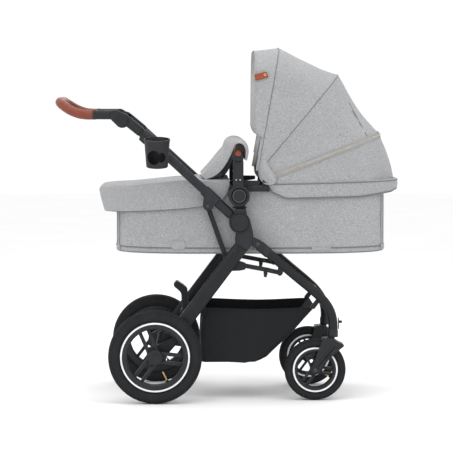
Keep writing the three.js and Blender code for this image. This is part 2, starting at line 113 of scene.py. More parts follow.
def turned(shape, centre, axis, degrees):
    """The shape turned about an axis through centre."""
    axis, centre = unit(axis), np.asarray(centre, float)
    cos, sin = math.cos(math.radians(degrees)), math.sin(math.radians(degrees))
    p = shape[0] - centre
    p = p * cos + np.cross(axis, p) * sin + np.outer(p @ axis, axis) * (1 - cos)
    return p + centre, shape[1]


def skin(rows, around=False, along=False, caps=False):
    """Faces between rows of points. around closes each row, along joins the last row to the first."""
    rows = np.asarray(rows, float)
    height, width = rows.shape[:2]
    faces = []
    for i in range(height if along else height - 1):
        for k in range(width if around else width - 1):
            after, below = (k + 1) % width, ((i + 1) % height) * width
            faces.append((i * width + k, i * width + after, below + after, below + k))
    if caps:
        faces.append(tuple(range(width))[::-1])
        faces.append(tuple((height - 1) * width + k for k in range(width)))
    return rows.reshape(-1, 3), faces


def cloth(rows, thickness):
    """A sheet with thickness: the grid of points is its outer side, and normals point to the left of
    its rows."""
    rows = np.asarray(rows, float)
    across, down = np.gradient(rows, axis=1), np.gradient(rows, axis=0)
    normal = np.cross(across, down)
    normal /= np.maximum(np.linalg.norm(normal, axis=2, keepdims=True), 1e-9)
    inner = rows - normal * thickness
    height, width = rows.shape[:2]
    points = np.concatenate([rows.reshape(-1, 3), inner.reshape(-1, 3)])
    faces = skin(rows)[1]
    count = height * width
    faces += [tuple(i + count for i in reversed(face)) for face in faces]
    rim = [k for k in range(width)] + [i * width + width - 1 for i in range(1, height)]
    rim += [(height - 1) * width + k for k in range(width - 2, -1, -1)]
    rim += [i * width for i in range(height - 2, 0, -1)]
    for a, b in zip(rim, rim[1:] + rim[:1]):
        faces.append((b, a, a + count, b + count))
    return points, faces


def smooth(points, steps=8, closed=False):
    """Points along a smooth curve that passes through all the given ones."""
    points = np.asarray(points, float)
    if closed:
        points = np.concatenate([points[-2:], points, points[:3]])
    knots = np.concatenate([[0], np.cumsum(np.linalg.norm(np.diff(points, axis=0), axis=1) ** 0.5)])
    slopes = np.gradient(points, knots, axis=0)
    found = []
    for i in range(len(points) - 1):
        span = knots[i + 1] - knots[i]
        for t in np.arange(steps) / steps:
            found.append(
                (2 * t**3 - 3 * t**2 + 1) * points[i] + (t**3 - 2 * t**2 + t) * span * slopes[i]
                + (3 * t**2 - 2 * t**3) * points[i + 1] + (t**3 - t**2) * span * slopes[i + 1])
    if closed:
        return np.array(found[2 * steps:-3 * steps])
    return np.array(found + [points[-1]])


def along_line(points, count):
    """The same line as count evenly spaced points."""
    points = np.asarray(points, float)
    run = np.concatenate([[0], np.cumsum(np.linalg.norm(np.diff(points, axis=0), axis=1))])
    at = np.linspace(0, run[-1], count)
    return np.stack([np.interp(at, run, points[:, k]) for k in range(points.shape[1])], axis=1)


def sweep(path, sections, up=(0, 1, 0), closed=False):
    """Sections of (across, up) pairs carried along a path."""
    path = np.asarray(path, float)
    if closed:
        heading = np.roll(path, -1, axis=0) - np.roll(path, 1, axis=0)
    else:
        heading = np.gradient(path, axis=0)
    heading /= np.linalg.norm(heading, axis=1, keepdims=True)
    side = np.cross(heading, np.asarray(up, float))
    side /= np.linalg.norm(side, axis=1, keepdims=True)
    rise = np.cross(side, heading)
    rows = [path[i] + np.outer(s[:, 0], side[i]) + np.outer(s[:, 1], rise[i])
            for i, s in enumerate(sections)]
    return skin(rows, around=True, along=closed, caps=not closed)


def circle(radius, sides):
    angles = np.arange(sides) * 2 * math.pi / sides
    return np.stack([radius * np.cos(angles), radius * np.sin(angles)], axis=1)


def rod(path, radius, sides, up=(0, 1, 0), closed=False):
    """A round section carried along a path."""
    return sweep(path, [circle(radius, sides)] * len(path), up, closed)


def tube(points, radius, sides):
    """A round tube through points, its ends chamfered by 1 mm."""
    path = smooth(points) if len(points) > 2 else np.asarray(points, float)
    first, last = unit(path[1] - path[0]), unit(path[-1] - path[-2])
    path = np.concatenate([path[:1], [path[0] + first], path[1:-1], [path[-1] - last], path[-1:]])
    radii = [radius - 1] + [radius] * (len(path) - 2) + [radius - 1]
    return sweep(path, [circle(r, sides) for r in radii])


def lathe(profile, centre, axis=(0, 1, 0), segments=64):
    """A profile of (radius, height) pairs turned about an axis through centre."""
    axis = unit(axis)
    side = unit(np.cross(axis, (0, 0, 1) if abs(axis[2]) < 0.9 else (1, 0, 0)))
    other = np.cross(axis, side)
    profile = np.asarray(profile, float)
    rows = []
    for angle in np.arange(segments) * 2 * math.pi / segments:
        spoke = side * math.cos(angle) + other * math.sin(angle)
        rows.append(np.asarray(centre, float) + np.outer(profile[:, 1], axis)
                    + np.outer(profile[:, 0], spoke))
    return skin(rows, along=True)


def disc(centre, radius, low, high, edge=1.5, segments=48):
    """A disc about the Y direction with rounded edges."""
    turn = [(0, 0), (edge * 0.3, edge * 0.7), (edge, edge)]
    profile = [(0, low), *[(radius - edge + out, low + rise) for rise, out in turn],
               *[(radius - edge + out, high - drop) for drop, out in reversed(turn)], (0, high)]
    return lathe(profile, (centre[0], 0, centre[1]), segments=segments)


def rounded(corners, radius=6, steps=5):
    """An outline with rounded corners; a corner may carry its own radius as a third number."""
    found = []
    for i, corner in enumerate(corners):
        here = np.array(corner[:2], float)
        reach = corner[2] if len(corner) > 2 else radius
        before = np.array(corners[i - 1][:2], float) - here
        after = np.array(corners[(i + 1) % len(corners)][:2], float) - here
        turn = math.pi - math.acos(np.clip(unit(before) @ unit(after), -1, 1))
        back = min(reach * math.tan(turn / 2), 0.45 * np.linalg.norm(before),
                   0.45 * np.linalg.norm(after))
        a, b = here + unit(before) * back, here + unit(after) * back
        for t in np.linspace(0, 1, steps):
            found.append((1 - t) ** 2 * a + 2 * t * (1 - t) * here + t * t * b)
    return found


def link(start, end, radius):
    """An outline with round ends about two pivots."""
    heading = math.atan2(end[1] - start[1], end[0] - start[0])
    found = []
    for centre, first in ((start, heading + math.pi / 2), (end, heading - math.pi / 2)):
        for t in np.linspace(0, math.pi, 12):
            found.append((centre[0] + radius * math.cos(first + t),
                          centre[1] + radius * math.sin(first + t)))
    return found


def prism(outline, low, high, bevel=2.0):
    """A side-view outline given thickness from y = low to y = high, its rims rounded."""
    bm = bmesh.new()
    face = bm.faces.new([bm.verts.new((x, low, z)) for x, z in outline])
    made = bmesh.ops.extrude_face_region(bm, geom=[face])["geom"]
    lifted = [v for v in made if isinstance(v, bmesh.types.BMVert)]
    bmesh.ops.translate(bm, verts=lifted, vec=(0, high - low, 0))
    caps = [f for f in bm.faces if len(f.verts) == len(outline) and len(outline) != 4]
    caps = caps or [f for f in bm.faces if abs(f.calc_center_median().y - low) < 1e-4
                    or abs(f.calc_center_median().y - high) < 1e-4]
    rims = list({edge for cap in caps for edge in cap.edges})
    bmesh.ops.bevel(bm, geom=rims, offset=bevel, segments=3, profile=0.5, affect="EDGES")
    bm.verts.index_update()
    shape = (np.array([v.co for v in bm.verts]), [tuple(v.index for v in f.verts) for f in bm.faces])
    bm.free()
    return shape


def bar(start, end, width, low, high, bevel=2.0, taper=1.0):
    """A straight flat bar in side view between two points."""
    start, end = np.array(start, float), np.array(end, float)
    across = unit(np.array([start[1] - end[1], end[0] - start[0]])) * width / 2
    return prism([start - across, end - across * taper, end + across * taper, start + across],
                 low, high, bevel)


def screw(x, y, z, radius=4.5, out=-1):
    """A domed screw head with a round socket; out is the side of Y that it faces."""
    return lathe([(0, 0.8), (radius * 0.5, 0.8), (radius * 0.5, 2.4), (radius * 0.8, 2.1),
                  (radius, 1.1), (radius, -1)], (x, y, z), (0, out, 0), 24)


def stitches(path, pitch=4.0, length=2.8, radius=0.45):
    """Single stitches along a path."""
    path = np.asarray(path, float)
    run = np.linalg.norm(np.diff(path, axis=0), axis=1).sum()
    count = max(2, int(run / pitch))
    line = along_line(path, 2 * count + 1)
    found = []
    for k in range(count):
        middle = line[2 * k + 1]
        heading = unit(line[2 * k + 2] - line[2 * k])
        found.append(lathe([(0, -length / 2), (radius, -length / 4), (radius, length / 4),
                            (0, length / 2)], middle, heading, 5))
    return joined(*found)


def ripple(points, size, height, seed=0.0):
    """How far soft noise lifts each point."""
    return np.array([height * noise.noise(Vector(p / size) + Vector((seed, seed, seed)))
                     for p in np.asarray(points, float).reshape(-1, 3)])


# ---------------------------------------------------------------- materials
class Finish:
    """A procedural material with one Principled shader."""

    def __init__(self, name, **settings):
        self.material = bpy.data.materials.new(name)
        self.material.use_nodes = True
        self.tree = self.material.node_tree
        self.shader = self.tree.nodes["Principled BSDF"]
        for socket, value in settings.items():
            self.shader.inputs[socket.replace("_", " ")].default_value = value
        self.where = self.tree.nodes.new("ShaderNodeTexCoord").outputs["Object"]

    def add(self, kind, inputs, output=0, **properties):
        node = self.tree.nodes.new(kind)
        for key, value in properties.items():
            setattr(node, key, value)
        for key, value in inputs.items():
            if isinstance(value, bpy.types.NodeSocket):
                self.tree.links.new(value, node.inputs[key])
            else:
                node.inputs[key].default_value = value
        return node.outputs[output]

    def maths(self, operation, a, b=0.0):
        return self.add("ShaderNodeMath", {0: a, 1: b}, operation=operation)

    def stretched(self, scale):
        """The object's coordinates, scaled by three numbers."""
        return self.add("ShaderNodeMapping", {"Vector": self.where, "Scale": scale})

    def noise(self, scale, detail=2.0, roughness=0.5, vector=None):
        return self.add("ShaderNodeTexNoise", {
            "Vector": vector or self.where, "Scale": scale, "Detail": detail,
            "Roughness": roughness})

    def ramp(self, value, *stops):
        """A colour or grey that follows value through (position, colour) stops."""
        node = self.tree.nodes.new("ShaderNodeValToRGB")
        for i, (position, colour) in enumerate(stops):
            element = node.color_ramp.elements[i] if i < 2 else node.color_ramp.elements.new(position)
            element.position = position
            colour = (colour,) * 3 if isinstance(colour, (int, float)) else tuple(colour)
            element.color = (*colour, 1)
        self.tree.links.new(value, node.inputs[0])
        return node.outputs[0]

    def mix(self, share, a, b, kind="MIX"):
        node = self.tree.nodes.new("ShaderNodeMix")
        node.data_type, node.blend_type = "RGBA", kind
        for index, value in ((0, share), (6, a), (7, b)):
            if isinstance(value, bpy.types.NodeSocket):
                self.tree.links.new(value, node.inputs[index])
            else:
                node.inputs[index].default_value = value if index == 0 else (*value, 1)
        return node.outputs[2]

    def waves(self, pitch, direction):
        """A 0 to 1 wave of that pitch in metres along a direction."""
        along = self.add("ShaderNodeVectorMath", {0: self.where, 1: direction},
                         output="Value", operation="DOT_PRODUCT")
        wave = self.maths("SINE", self.maths("MULTIPLY", along, 2 * math.pi / pitch))
        return self.maths("MULTIPLY_ADD", wave, 0.5)

    def use(self, colour=None, rough=None, bumps=()):
        links, inputs = self.tree.links, self.shader.inputs
        if colour is not None:
            links.new(colour, inputs["Base Color"])
        if rough is not None:
            links.new(rough, inputs["Roughness"])
        normal = None
        for height, distance, strength in bumps:
            settings = {"Height": height, "Distance": distance, "Strength": strength}
            if normal is not None:
                settings["Normal"] = normal
            normal = self.add("ShaderNodeBump", settings)
        if normal is not None:
            links.new(normal, inputs["Normal"])
        return self.material


def worn(finish, base, edge):
    """The base colour with lighter edges and a faint cloudiness."""
    sharpness = finish.add("ShaderNodeNewGeometry", {}, output="Pointiness")
    rubbed = finish.ramp(sharpness, (0.52, 0.0), (0.62, 1.0))
    patchy = finish.ramp(finish.noise(60, 4), (0.35, 0.2), (0.7, 0.9))
    share = finish.maths("MULTIPLY", rubbed, patchy)
    cloudy = finish.ramp(finish.noise(14, 3), (0.3, [c * 0.88 for c in base]),
                         (0.7, [c * 1.12 for c in base]))
    return finish.mix(share, cloudy, edge)


def fabric(name, light, dark, weave=0.0013, contrast=1.0, sheen=0.12):
    """Heather cloth: flecks along warp and weft, a plain weave and slow shade variation."""
    finish = Finish(name, Roughness=0.92, Sheen_Weight=sheen, Sheen_Roughness=0.45,
                    Specular_IOR_Level=0.25)
    warp = finish.noise(1.0, 3, 0.6, finish.stretched((1300, 1300, 330)))
    weft = finish.noise(1.0, 3, 0.6, finish.stretched((330, 420, 1300)))
    flecks = finish.maths("MULTIPLY", finish.maths("ADD", warp, weft), 0.5)
    spread = 0.09 / contrast
    colour = finish.ramp(flecks, (0.5 - spread, dark), (0.5 + spread, light))
    shade = finish.ramp(finish.noise(9, 3), (0.3, 0.955), (0.7, 1.0))
    colour = finish.mix(1.0, colour, shade, "MULTIPLY")
    threads = finish.maths("MULTIPLY", finish.waves(weave, (1, 0.35, 0)),
                           finish.waves(weave, (0, 1, 1)))
    creases = finish.noise(26, 3)
    return finish.use(colour, None, [(creases, 0.004, 0.22), (threads, 0.0004, 0.5),
                                     (flecks, 0.0005, 0.35)])


def moulded(name, base, roughness):
    """Spark-eroded plastic."""
    finish = Finish(name, Roughness=roughness, Specular_IOR_Level=0.26)
    colour = worn(finish, base, [c * 2.2 for c in base])
    rough = finish.ramp(finish.noise(40, 3), (0.3, roughness - 0.06), (0.7, roughness + 0.08))
    return finish.use(colour, rough, [(finish.noise(1500, 2), 0.0002, 0.3)])


def painted(name, base):
    """Matt powder coat on aluminium tube."""
    finish = Finish(name, Roughness=0.4, Specular_IOR_Level=0.24)
    colour = worn(finish, base, [c * 2.6 for c in base])
    rough = finish.ramp(finish.noise(30, 3), (0.3, 0.34), (0.7, 0.46))
    return finish.use(colour, rough, [(finish.noise(650, 2), 0.00025, 0.35)])


def leather(name, base, deep, scale=700):
    """Grained leather with darker pores."""
    finish = Finish(name, Roughness=0.45, Specular_IOR_Level=0.3)
    cells = finish.add("ShaderNodeTexVoronoi", {"Vector": finish.where, "Scale": scale},
                       feature="DISTANCE_TO_EDGE")
    grain = finish.ramp(cells, (0.0, 0.0), (0.16, 1.0))
    tone = finish.ramp(finish.noise(22, 4), (0.3, [c * 0.82 for c in base]),
                       (0.72, [min(1, c * 1.18) for c in base]))
    colour = finish.mix(grain, deep, tone)
    rough = finish.ramp(finish.noise(50, 3), (0.3, 0.38), (0.7, 0.55))
    return finish.use(colour, rough, [(finish.noise(90, 3), 0.0006, 0.15), (grain, 0.00015, 0.35)])


def rubber():
    finish = Finish("tyre_rubber", Roughness=0.75, Specular_IOR_Level=0.16)
    dust = finish.ramp(finish.noise(35, 5, 0.65), (0.35, (0.014, 0.015, 0.0165)),
                       (0.8, (0.021, 0.0215, 0.022)))
    return finish.use(dust, None, [(finish.noise(420, 3), 0.0004, 0.4)])


def steel(name, colour, roughness):
    finish = Finish(name, Roughness=roughness, Metallic=1.0)
    rings = finish.noise(1.0, 2, 0.5, finish.stretched((60, 1800, 60)))
    tone = finish.ramp(rings, (0.3, [c * 0.8 for c in colour]), (0.7, colour))
    rough = finish.ramp(rings, (0.3, roughness - 0.08), (0.7, roughness + 0.1))
    return finish.use(tone, rough, [(rings, 0.0001, 0.3)])


def reflector():
    finish = Finish("reflective_white", Roughness=0.38, Specular_IOR_Level=0.6)
    beads = finish.add("ShaderNodeTexVoronoi", {"Vector": finish.where, "Scale": 1600})
    colour = finish.ramp(finish.noise(50, 3), (0.3, (0.7, 0.72, 0.74)), (0.7, (0.86, 0.87, 0.88)))
    return finish.use(colour, None, [(beads, 0.0001, 0.3)])


GREY_FABRIC = fabric("grey_heather", (0.475, 0.48, 0.49), (0.20, 0.202, 0.21))
PIPING = fabric("piping_grey", (0.20, 0.20, 0.21), (0.13, 0.13, 0.135), contrast=0.8)
THREAD = fabric("thread_grey", (0.19, 0.19, 0.2), (0.12, 0.12, 0.125), weave=0.0006, contrast=0.8)
LINING = fabric("white_lining", (0.72, 0.72, 0.71), (0.62, 0.62, 0.61), contrast=0.5)
ZIP_TAPE = fabric("zip_tape", (0.43, 0.415, 0.39), (0.35, 0.34, 0.315), weave=0.0009, contrast=0.6)
ZIP_TEETH = moulded("zip_teeth", (0.30, 0.29, 0.27), 0.45)
BASKET_CLOTH = fabric("basket_cloth", (0.018, 0.019, 0.022), (0.010, 0.011, 0.012), weave=0.0018,
                      contrast=0.9, sheen=0.03)
PLASTIC = moulded("black_plastic", (0.014, 0.0155, 0.018), 0.46)
CUP_PLASTIC = moulded("cup_plastic", (0.019, 0.0175, 0.020), 0.5)
FRAME_METAL = painted("frame_metal", (0.011, 0.012, 0.014))
RUBBER = rubber()
STEEL = steel("steel", (0.62, 0.62, 0.63), 0.28)
SATIN_STEEL = steel("satin_steel", (0.2, 0.205, 0.21), 0.35)
DARK_STEEL = steel("dark_steel", (0.075, 0.078, 0.083), 0.34)
BRASS = steel("brass", (0.72, 0.47, 0.2), 0.28)
BROWN_LEATHER = leather("brown_leather", (0.23, 0.057, 0.030), (0.14, 0.031, 0.016), 1100)
TAN_LEATHER = leather("tan_leather", (0.32, 0.072, 0.032), (0.22, 0.047, 0.02), 1400)
LEATHER_THREAD = fabric("leather_thread", (0.13, 0.04, 0.025), (0.08, 0.025, 0.016), 0.0006)
REFLECTOR = reflector()


# ---------------------------------------------------------------- pieces
def piece(name, shape, finish, body, stands_for=(), shares=None, sharp=38, inside=None):
    """A mesh object from a shape, riding on a body. shares are fold shares kept per point, and inside
    is the finish of a sheet's inner side."""
    points, faces = shape
    mesh = bpy.data.meshes.new(name)
    mesh.from_pydata(place(points).tolist(), [], [list(face) for face in faces])
    if inside:
        half = len(points) // 2
        mesh.polygons.foreach_set("material_index", [int(min(face) >= half) for face in faces])
    if shares is not None:
        mesh.attributes.new("fold_share", "FLOAT", "POINT").data.foreach_set("value", shares)
    bm = bmesh.new()
    bm.from_mesh(mesh)
    bmesh.ops.remove_doubles(bm, verts=bm.verts, dist=2e-6)
    bmesh.ops.dissolve_degenerate(bm, edges=bm.edges, dist=1e-6)
    bmesh.ops.recalc_face_normals(bm, faces=bm.faces)
    for face in bm.faces:
        face.smooth = True
    for edge in bm.edges:
        edge.smooth = len(edge.link_faces) == 2 and edge.calc_face_angle() < math.radians(sharp)
    bm.to_mesh(mesh)
    bm.free()
    obj = bpy.data.objects.new(name, mesh)
    bpy.context.scene.collection.objects.link(obj)
    mesh.materials.append(finish)
    if inside:
        mesh.materials.append(inside)
    if any(len(face) > 6 for face in faces):
        obj.modifiers.new("even_shading", "WEIGHTED_NORMAL").keep_sharp = True
    if stands_for:
        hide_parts(*([stands_for] if isinstance(stands_for, str) else stands_for))
    if isinstance(body, str):
        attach(obj, body)
    return obj


def pair(name, shape, finish, body, stands_for=None):
    """The left piece as drawn and its mirror image; {} in a body's name is the side's letter."""
    for side, made in (("L", shape), ("R", mirrored(shape))):
        piece(f"{name}_{side}", made, finish, body.format(side),
              f"{stands_for}_{side}" if stands_for else ())


def folding(obj, held, moving, start, end):
    """Bakes a piece's placement into its mesh and removes its fold shares; held, moving, start and end are
    not used, so the piece is not bent.
    """
    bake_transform(obj)
    shares = np.zeros(len(obj.data.vertices), np.float32)
    obj.data.attributes["fold_share"].data.foreach_get("value", shares)
    obj.data.attributes.remove(obj.data.attributes["fold_share"])


# ---------------------------------------------------------------- camera, light, floor
def make_stage():
    camera = bpy.data.objects.new("camera", bpy.data.cameras.new("camera"))
    camera.data.lens, camera.data.sensor_width = 183.64, 36
    camera.data.clip_end = 60
    camera.location = place((68.06, -7351.3, 971.38))[0]
    camera.rotation_euler = (math.pi / 2 - 0.0596, 0, -0.0213)
    bpy.context.scene.collection.objects.link(camera)
    bpy.context.scene.camera = camera

    world = bpy.data.worlds.new("studio")
    world.use_nodes = True
    world.node_tree.nodes["Background"].inputs["Color"].default_value = (1, 1, 1, 1)
    world.node_tree.nodes["Background"].inputs["Strength"].default_value = 1.03
    bpy.context.scene.world = world
    bpy.context.scene.view_settings.view_transform = "Standard"

    for name, where, size, power in (
            ("top_light", (200, -600, 3600), 3.4, 52),
            ("front_light", (-1800, -3600, 2400), 2.6, 24),
            ("side_light", (3200, -1800, 2200), 2.2, 10),
            ("back_light", (400, 3600, 2600), 2.6, 20)):
        light = bpy.data.lights.new(name, "AREA")
        light.size, light.energy = size, power
        lamp = bpy.data.objects.new(name, light)
        lamp.location = place(where)[0]
        aim = Vector(place((250, 0, 450))[0]) - lamp.location
        lamp.rotation_euler = aim.to_track_quat("-Z", "Y").to_euler()
        bpy.context.scene.collection.objects.link(lamp)

    rows = [[(x, y, 0) for x in np.linspace(-14000, 14000, 3)] for y in np.linspace(-14000, 14000, 3)]
    points, faces = skin(rows)
    mesh = bpy.data.meshes.new("floor")
    mesh.from_pydata(place(points).tolist(), [], faces)
    floor = bpy.data.objects.new("floor", mesh)
    paint = Finish("floor_paint", Roughness=0.9)
    mesh.materials.append(paint.use(paint.ramp(paint.noise(2, 2), (0.3, 0.93), (0.7, 0.95))))
    bpy.context.scene.collection.objects.link(floor)


make_stage()


# ---------------------------------------------------------------- wheels
def tyre(wheel, centre, lugs):
    """A tyre with a grooved tread whose grooves run over both shoulders, and two sidewall ridges."""
    middle, height = (wheel["radius"] + wheel["bead"]) / 2, (wheel["radius"] - wheel["bead"]) / 2
    angles = np.radians(np.linspace(-138, 138, 47))
    cos, sin = np.cos(angles), np.sin(angles)
    radii = middle + height * np.sign(cos) * np.abs(cos) ** 0.8
    sides = wheel["half"] * np.sign(sin) * np.abs(sin) ** 0.75
    for ridge in (wheel["bead"] + height * 0.35, wheel["bead"] + height * 0.62):
        bump = 0.7 * np.exp(-((radii - ridge) / 0.9) ** 2)
        sides += np.sign(sides) * bump
    limit = wheel["half"]
    sides = np.clip(sides, -limit, limit)
    foot = wheel["bead"] + 0.2
    radii, sides = np.array([foot, *radii, foot]), np.array([sides[0], *sides, sides[-1]])
    shoulder = np.clip((radii - wheel["bead"] - 1.1 * height) / (0.35 * height), 0, 1)
    rows = []
    for step in range(lugs * 4):
        turn = step / (lugs * 4)
        phase = (turn * lugs + 0.45 * np.abs(sides) / limit) % 1.0
        groove = np.where(phase < 0.3, 1.0, 0.0) * shoulder
        belt = np.exp(-(np.abs(np.abs(sides) - 0.3 * limit) / 1.3) ** 2) * shoulder
        deep = radii - 2.0 * np.maximum(groove * (np.abs(sides) > 0.3 * limit), belt)
        flat = sides - np.sign(sides) * 0.9 * groove * (np.abs(sides) > 0.8 * limit)
        a = 2 * math.pi * turn
        rows.append(np.stack([centre[0] + deep * math.cos(a), centre[1] + flat,
                              centre[2] + deep * math.sin(a)], axis=1))
    return skin(rows, around=True, along=True)


def rim(wheel, centre):
    """A rim well, a hub and three pairs of parallel spokes."""
    half, outer, inner = wheel["half"] - 4, wheel["bead"] - 0.5, wheel["opening"]
    hub = wheel["hub"]
    well = [(outer, -half), (outer - 4, -half - 1.2), (inner + 3, -half - 1.2), (inner, -half + 1.5),
            (inner + 1.5, -half + 7), (inner + 5, -4), (inner + 5, 4), (inner + 1.5, half - 7),
            (inner, half - 1.5), (inner + 3, half + 1.2), (outer - 4, half + 1.2), (outer, half),
            (outer, -half)]
    boss = [(7, -half - 2), (hub - 2, -half - 2), (hub, -half), (hub, half - 4), (hub - 2, half - 2),
            (7, half - 2), (7, -half - 2)]
    shapes = [lathe(well, centre, segments=96), lathe(boss, centre, segments=48)]
    width = hub * 0.47
    for angle in (113, 233, 353):
        for side in (-1, 1):
            spoke = bar((centre[0] + hub * 0.7, centre[2] + side * hub * 0.54),
                        (centre[0] + inner + 4, centre[2] + side * hub * 0.56),
                        width, centre[1] - 9, centre[1] + 9, 2.2, 0.92)
            shapes.append(turned(spoke, centre, (0, 1, 0), -angle))
        web = bar((centre[0] + hub * 0.8, centre[2]), (centre[0] + hub * 1.45, centre[2]),
                  hub * 0.9, centre[1] - 4, centre[1] + 4, 1.0)
        shapes.append(turned(web, centre, (0, 1, 0), -angle))
    return joined(*shapes)


def hub_cap(wheel, centre):
    """A dished cap with a raised ring on the outer side of the hub."""
    face, hub = wheel["half"] - 2, wheel["hub"]
    profile = [(0, face + 1.2), (hub * 0.62, face + 1.2), (hub * 0.68, face + 2.2),
               (hub * 0.76, face + 2.2), (hub * 0.8, face + 1.4), (hub * 0.92, face + 0.8),
               (hub * 0.96, face - 1), (hub * 0.96, face - 8)]
    return lathe(profile, centre, segments=48)


def valve(centre, angle, base, tip):
    """A rubber foot and a threaded brass stem pointing at the hub."""
    heading = np.array([math.cos(math.radians(angle)), 0, math.sin(math.radians(angle))])
    at = np.asarray(centre, float)
    foot = lathe([(0, 0), (4.6, 0), (4.2, -6), (3.4, -8), (0, -8)], at + heading * base, heading, 20)
    length = base - 8 - tip
    thread = [(0, 0), (2.6, 0)]
    thread += [(2.6 - 0.35 * (k % 2), -k * length / 14) for k in range(1, 14)]
    stem = lathe(thread + [(2.0, -length), (0, -length)], at + heading * (base - 8), heading, 16)
    return foot, stem


def make_wheels():
    for kind, wheel, x, lugs, valve_at in (
            ("rear", REAR_WHEEL, 0, 112, (-63, 88, 52)),
            ("front", FRONT_WHEEL, WHEELBASE, 76, (-26, 56, 27))):
        centre = (x, wheel["track"], wheel["radius"])
        body, facing = f"{kind}_wheel_{{}}", wheel["half"] - 2.6
        pair(f"{kind}_tyre", tyre(wheel, centre, lugs), RUBBER, body, f"tyre_{kind}")
        pair(f"{kind}_rim", rim(wheel, centre), PLASTIC, body, f"rim_{kind}")
        pair(f"{kind}_hub_cap", hub_cap(wheel, centre), PLASTIC, body, None)
        ring = wheel["bead"] - 0.3
        outer_ring = lathe([(ring - 6.2, facing - 1.2), (ring - 5.8, facing), (ring - 0.9, facing),
                            (ring - 0.5, facing - 1.2), (ring - 6.2, facing - 1.2)], centre,
                           segments=128)
        inner_ring = moved(mirrored(moved(outer_ring, (0, -centre[1], 0))), (0, centre[1], 0))
        rings = [outer_ring] if kind == "rear" else [outer_ring, inner_ring]
        pair(f"{kind}_reflective_ring", joined(*rings), REFLECTOR, body, None)
        foot, stem = valve(centre, *valve_at)
        pair(f"{kind}_valve_foot", foot, RUBBER, body, None)
        pair(f"{kind}_valve_stem", stem, BRASS, body, None)


make_wheels()


# ---------------------------------------------------------------- rear frame
def leg_point(along, across):
    return (LEG_TOP[0] + LEG_SLOPE[0] * along - LEG_SLOPE[1] * across,
            LEG_TOP[1] + LEG_SLOPE[1] * along + LEG_SLOPE[0] * across)


def oval(wide, thick, sides=40):
    """A flat oval tube's section, wide across and thick in Y."""
    angles = np.arange(sides) * 2 * math.pi / sides
    cos, sin = np.cos(angles), np.sin(angles)
    return np.stack([wide / 2 * np.sign(cos) * np.abs(cos) ** 0.6,
                     thick / 2 * np.sign(sin) * np.abs(sin) ** 0.8], axis=1)


def helix(start, end, radius, turns, wire=1.6):
    """A coil spring between two points."""
    start, end = np.asarray(start, float), np.asarray(end, float)
    heading = unit(end - start)
    side = unit(np.cross(heading, (0, 1, 0)))
    other = np.cross(heading, side)
    t = np.linspace(0, 1, int(turns * 16))
    angles = t * turns * 2 * math.pi
    path = start + np.outer(t, end - start) + radius * (
        np.outer(np.cos(angles), side) + np.outer(np.sin(angles), other))
    return rod(path, wire, 8, tuple(heading))


def housing_shape():
    """Fold housing: an elbow over the leg's top, two cheeks about the fold pivot and a neck."""
    elbow = rounded([
        (252, 560, 3), (284, 575, 8), (296, 556, 16), (304, 522, 30), (301, 492, 14),
        (*leg_point(3, 22.5), 3), (*leg_point(3, -22.5), 3), (248, 508, 14), (251, 530, 14),
        (240, 548, 3)])
    neck = rounded([(249, 601, 3), (281, 601, 3), (285, 575, 6), (288, 560, 3), (238, 560, 3),
                    (246, 584, 8)])
    circle_points = [(FOLD[0] + x, FOLD[1] + z) for x, z in circle(HUB_RADIUS, 56)]
    collar = rounded([(250, 588, 3), (280, 588, 3), (280, 601, 2), (250, 601, 2)])
    return joined(
        prism(elbow, 212, 256, 3.5), prism(circle_points, 245.3, 256, 2.5),
        prism(circle_points, 212, 224.7, 2.5), prism(neck, 213, 255, 2.5),
        prism(collar, 211.5, 256.5, 1.2),
        prism(link((291, 505), FRONT_PIVOT, 14), 243, 252.5, 2),
        disc(FOLD, 7, 222, 247))


def push_button(centre, radius, base, face):
    """A round button with a rim, a groove and a dished middle."""
    profile = [(0, face - 2.2), (radius * 0.45, face - 1.8), (radius * 0.7, face - 0.6),
               (radius * 0.78, face - 0.9), (radius * 0.83, face), (radius * 0.93, face - 0.2),
               (radius, face - 2), (radius, base), (0, base)]
    return lathe(profile, (centre[0], 0, centre[1]), segments=64)


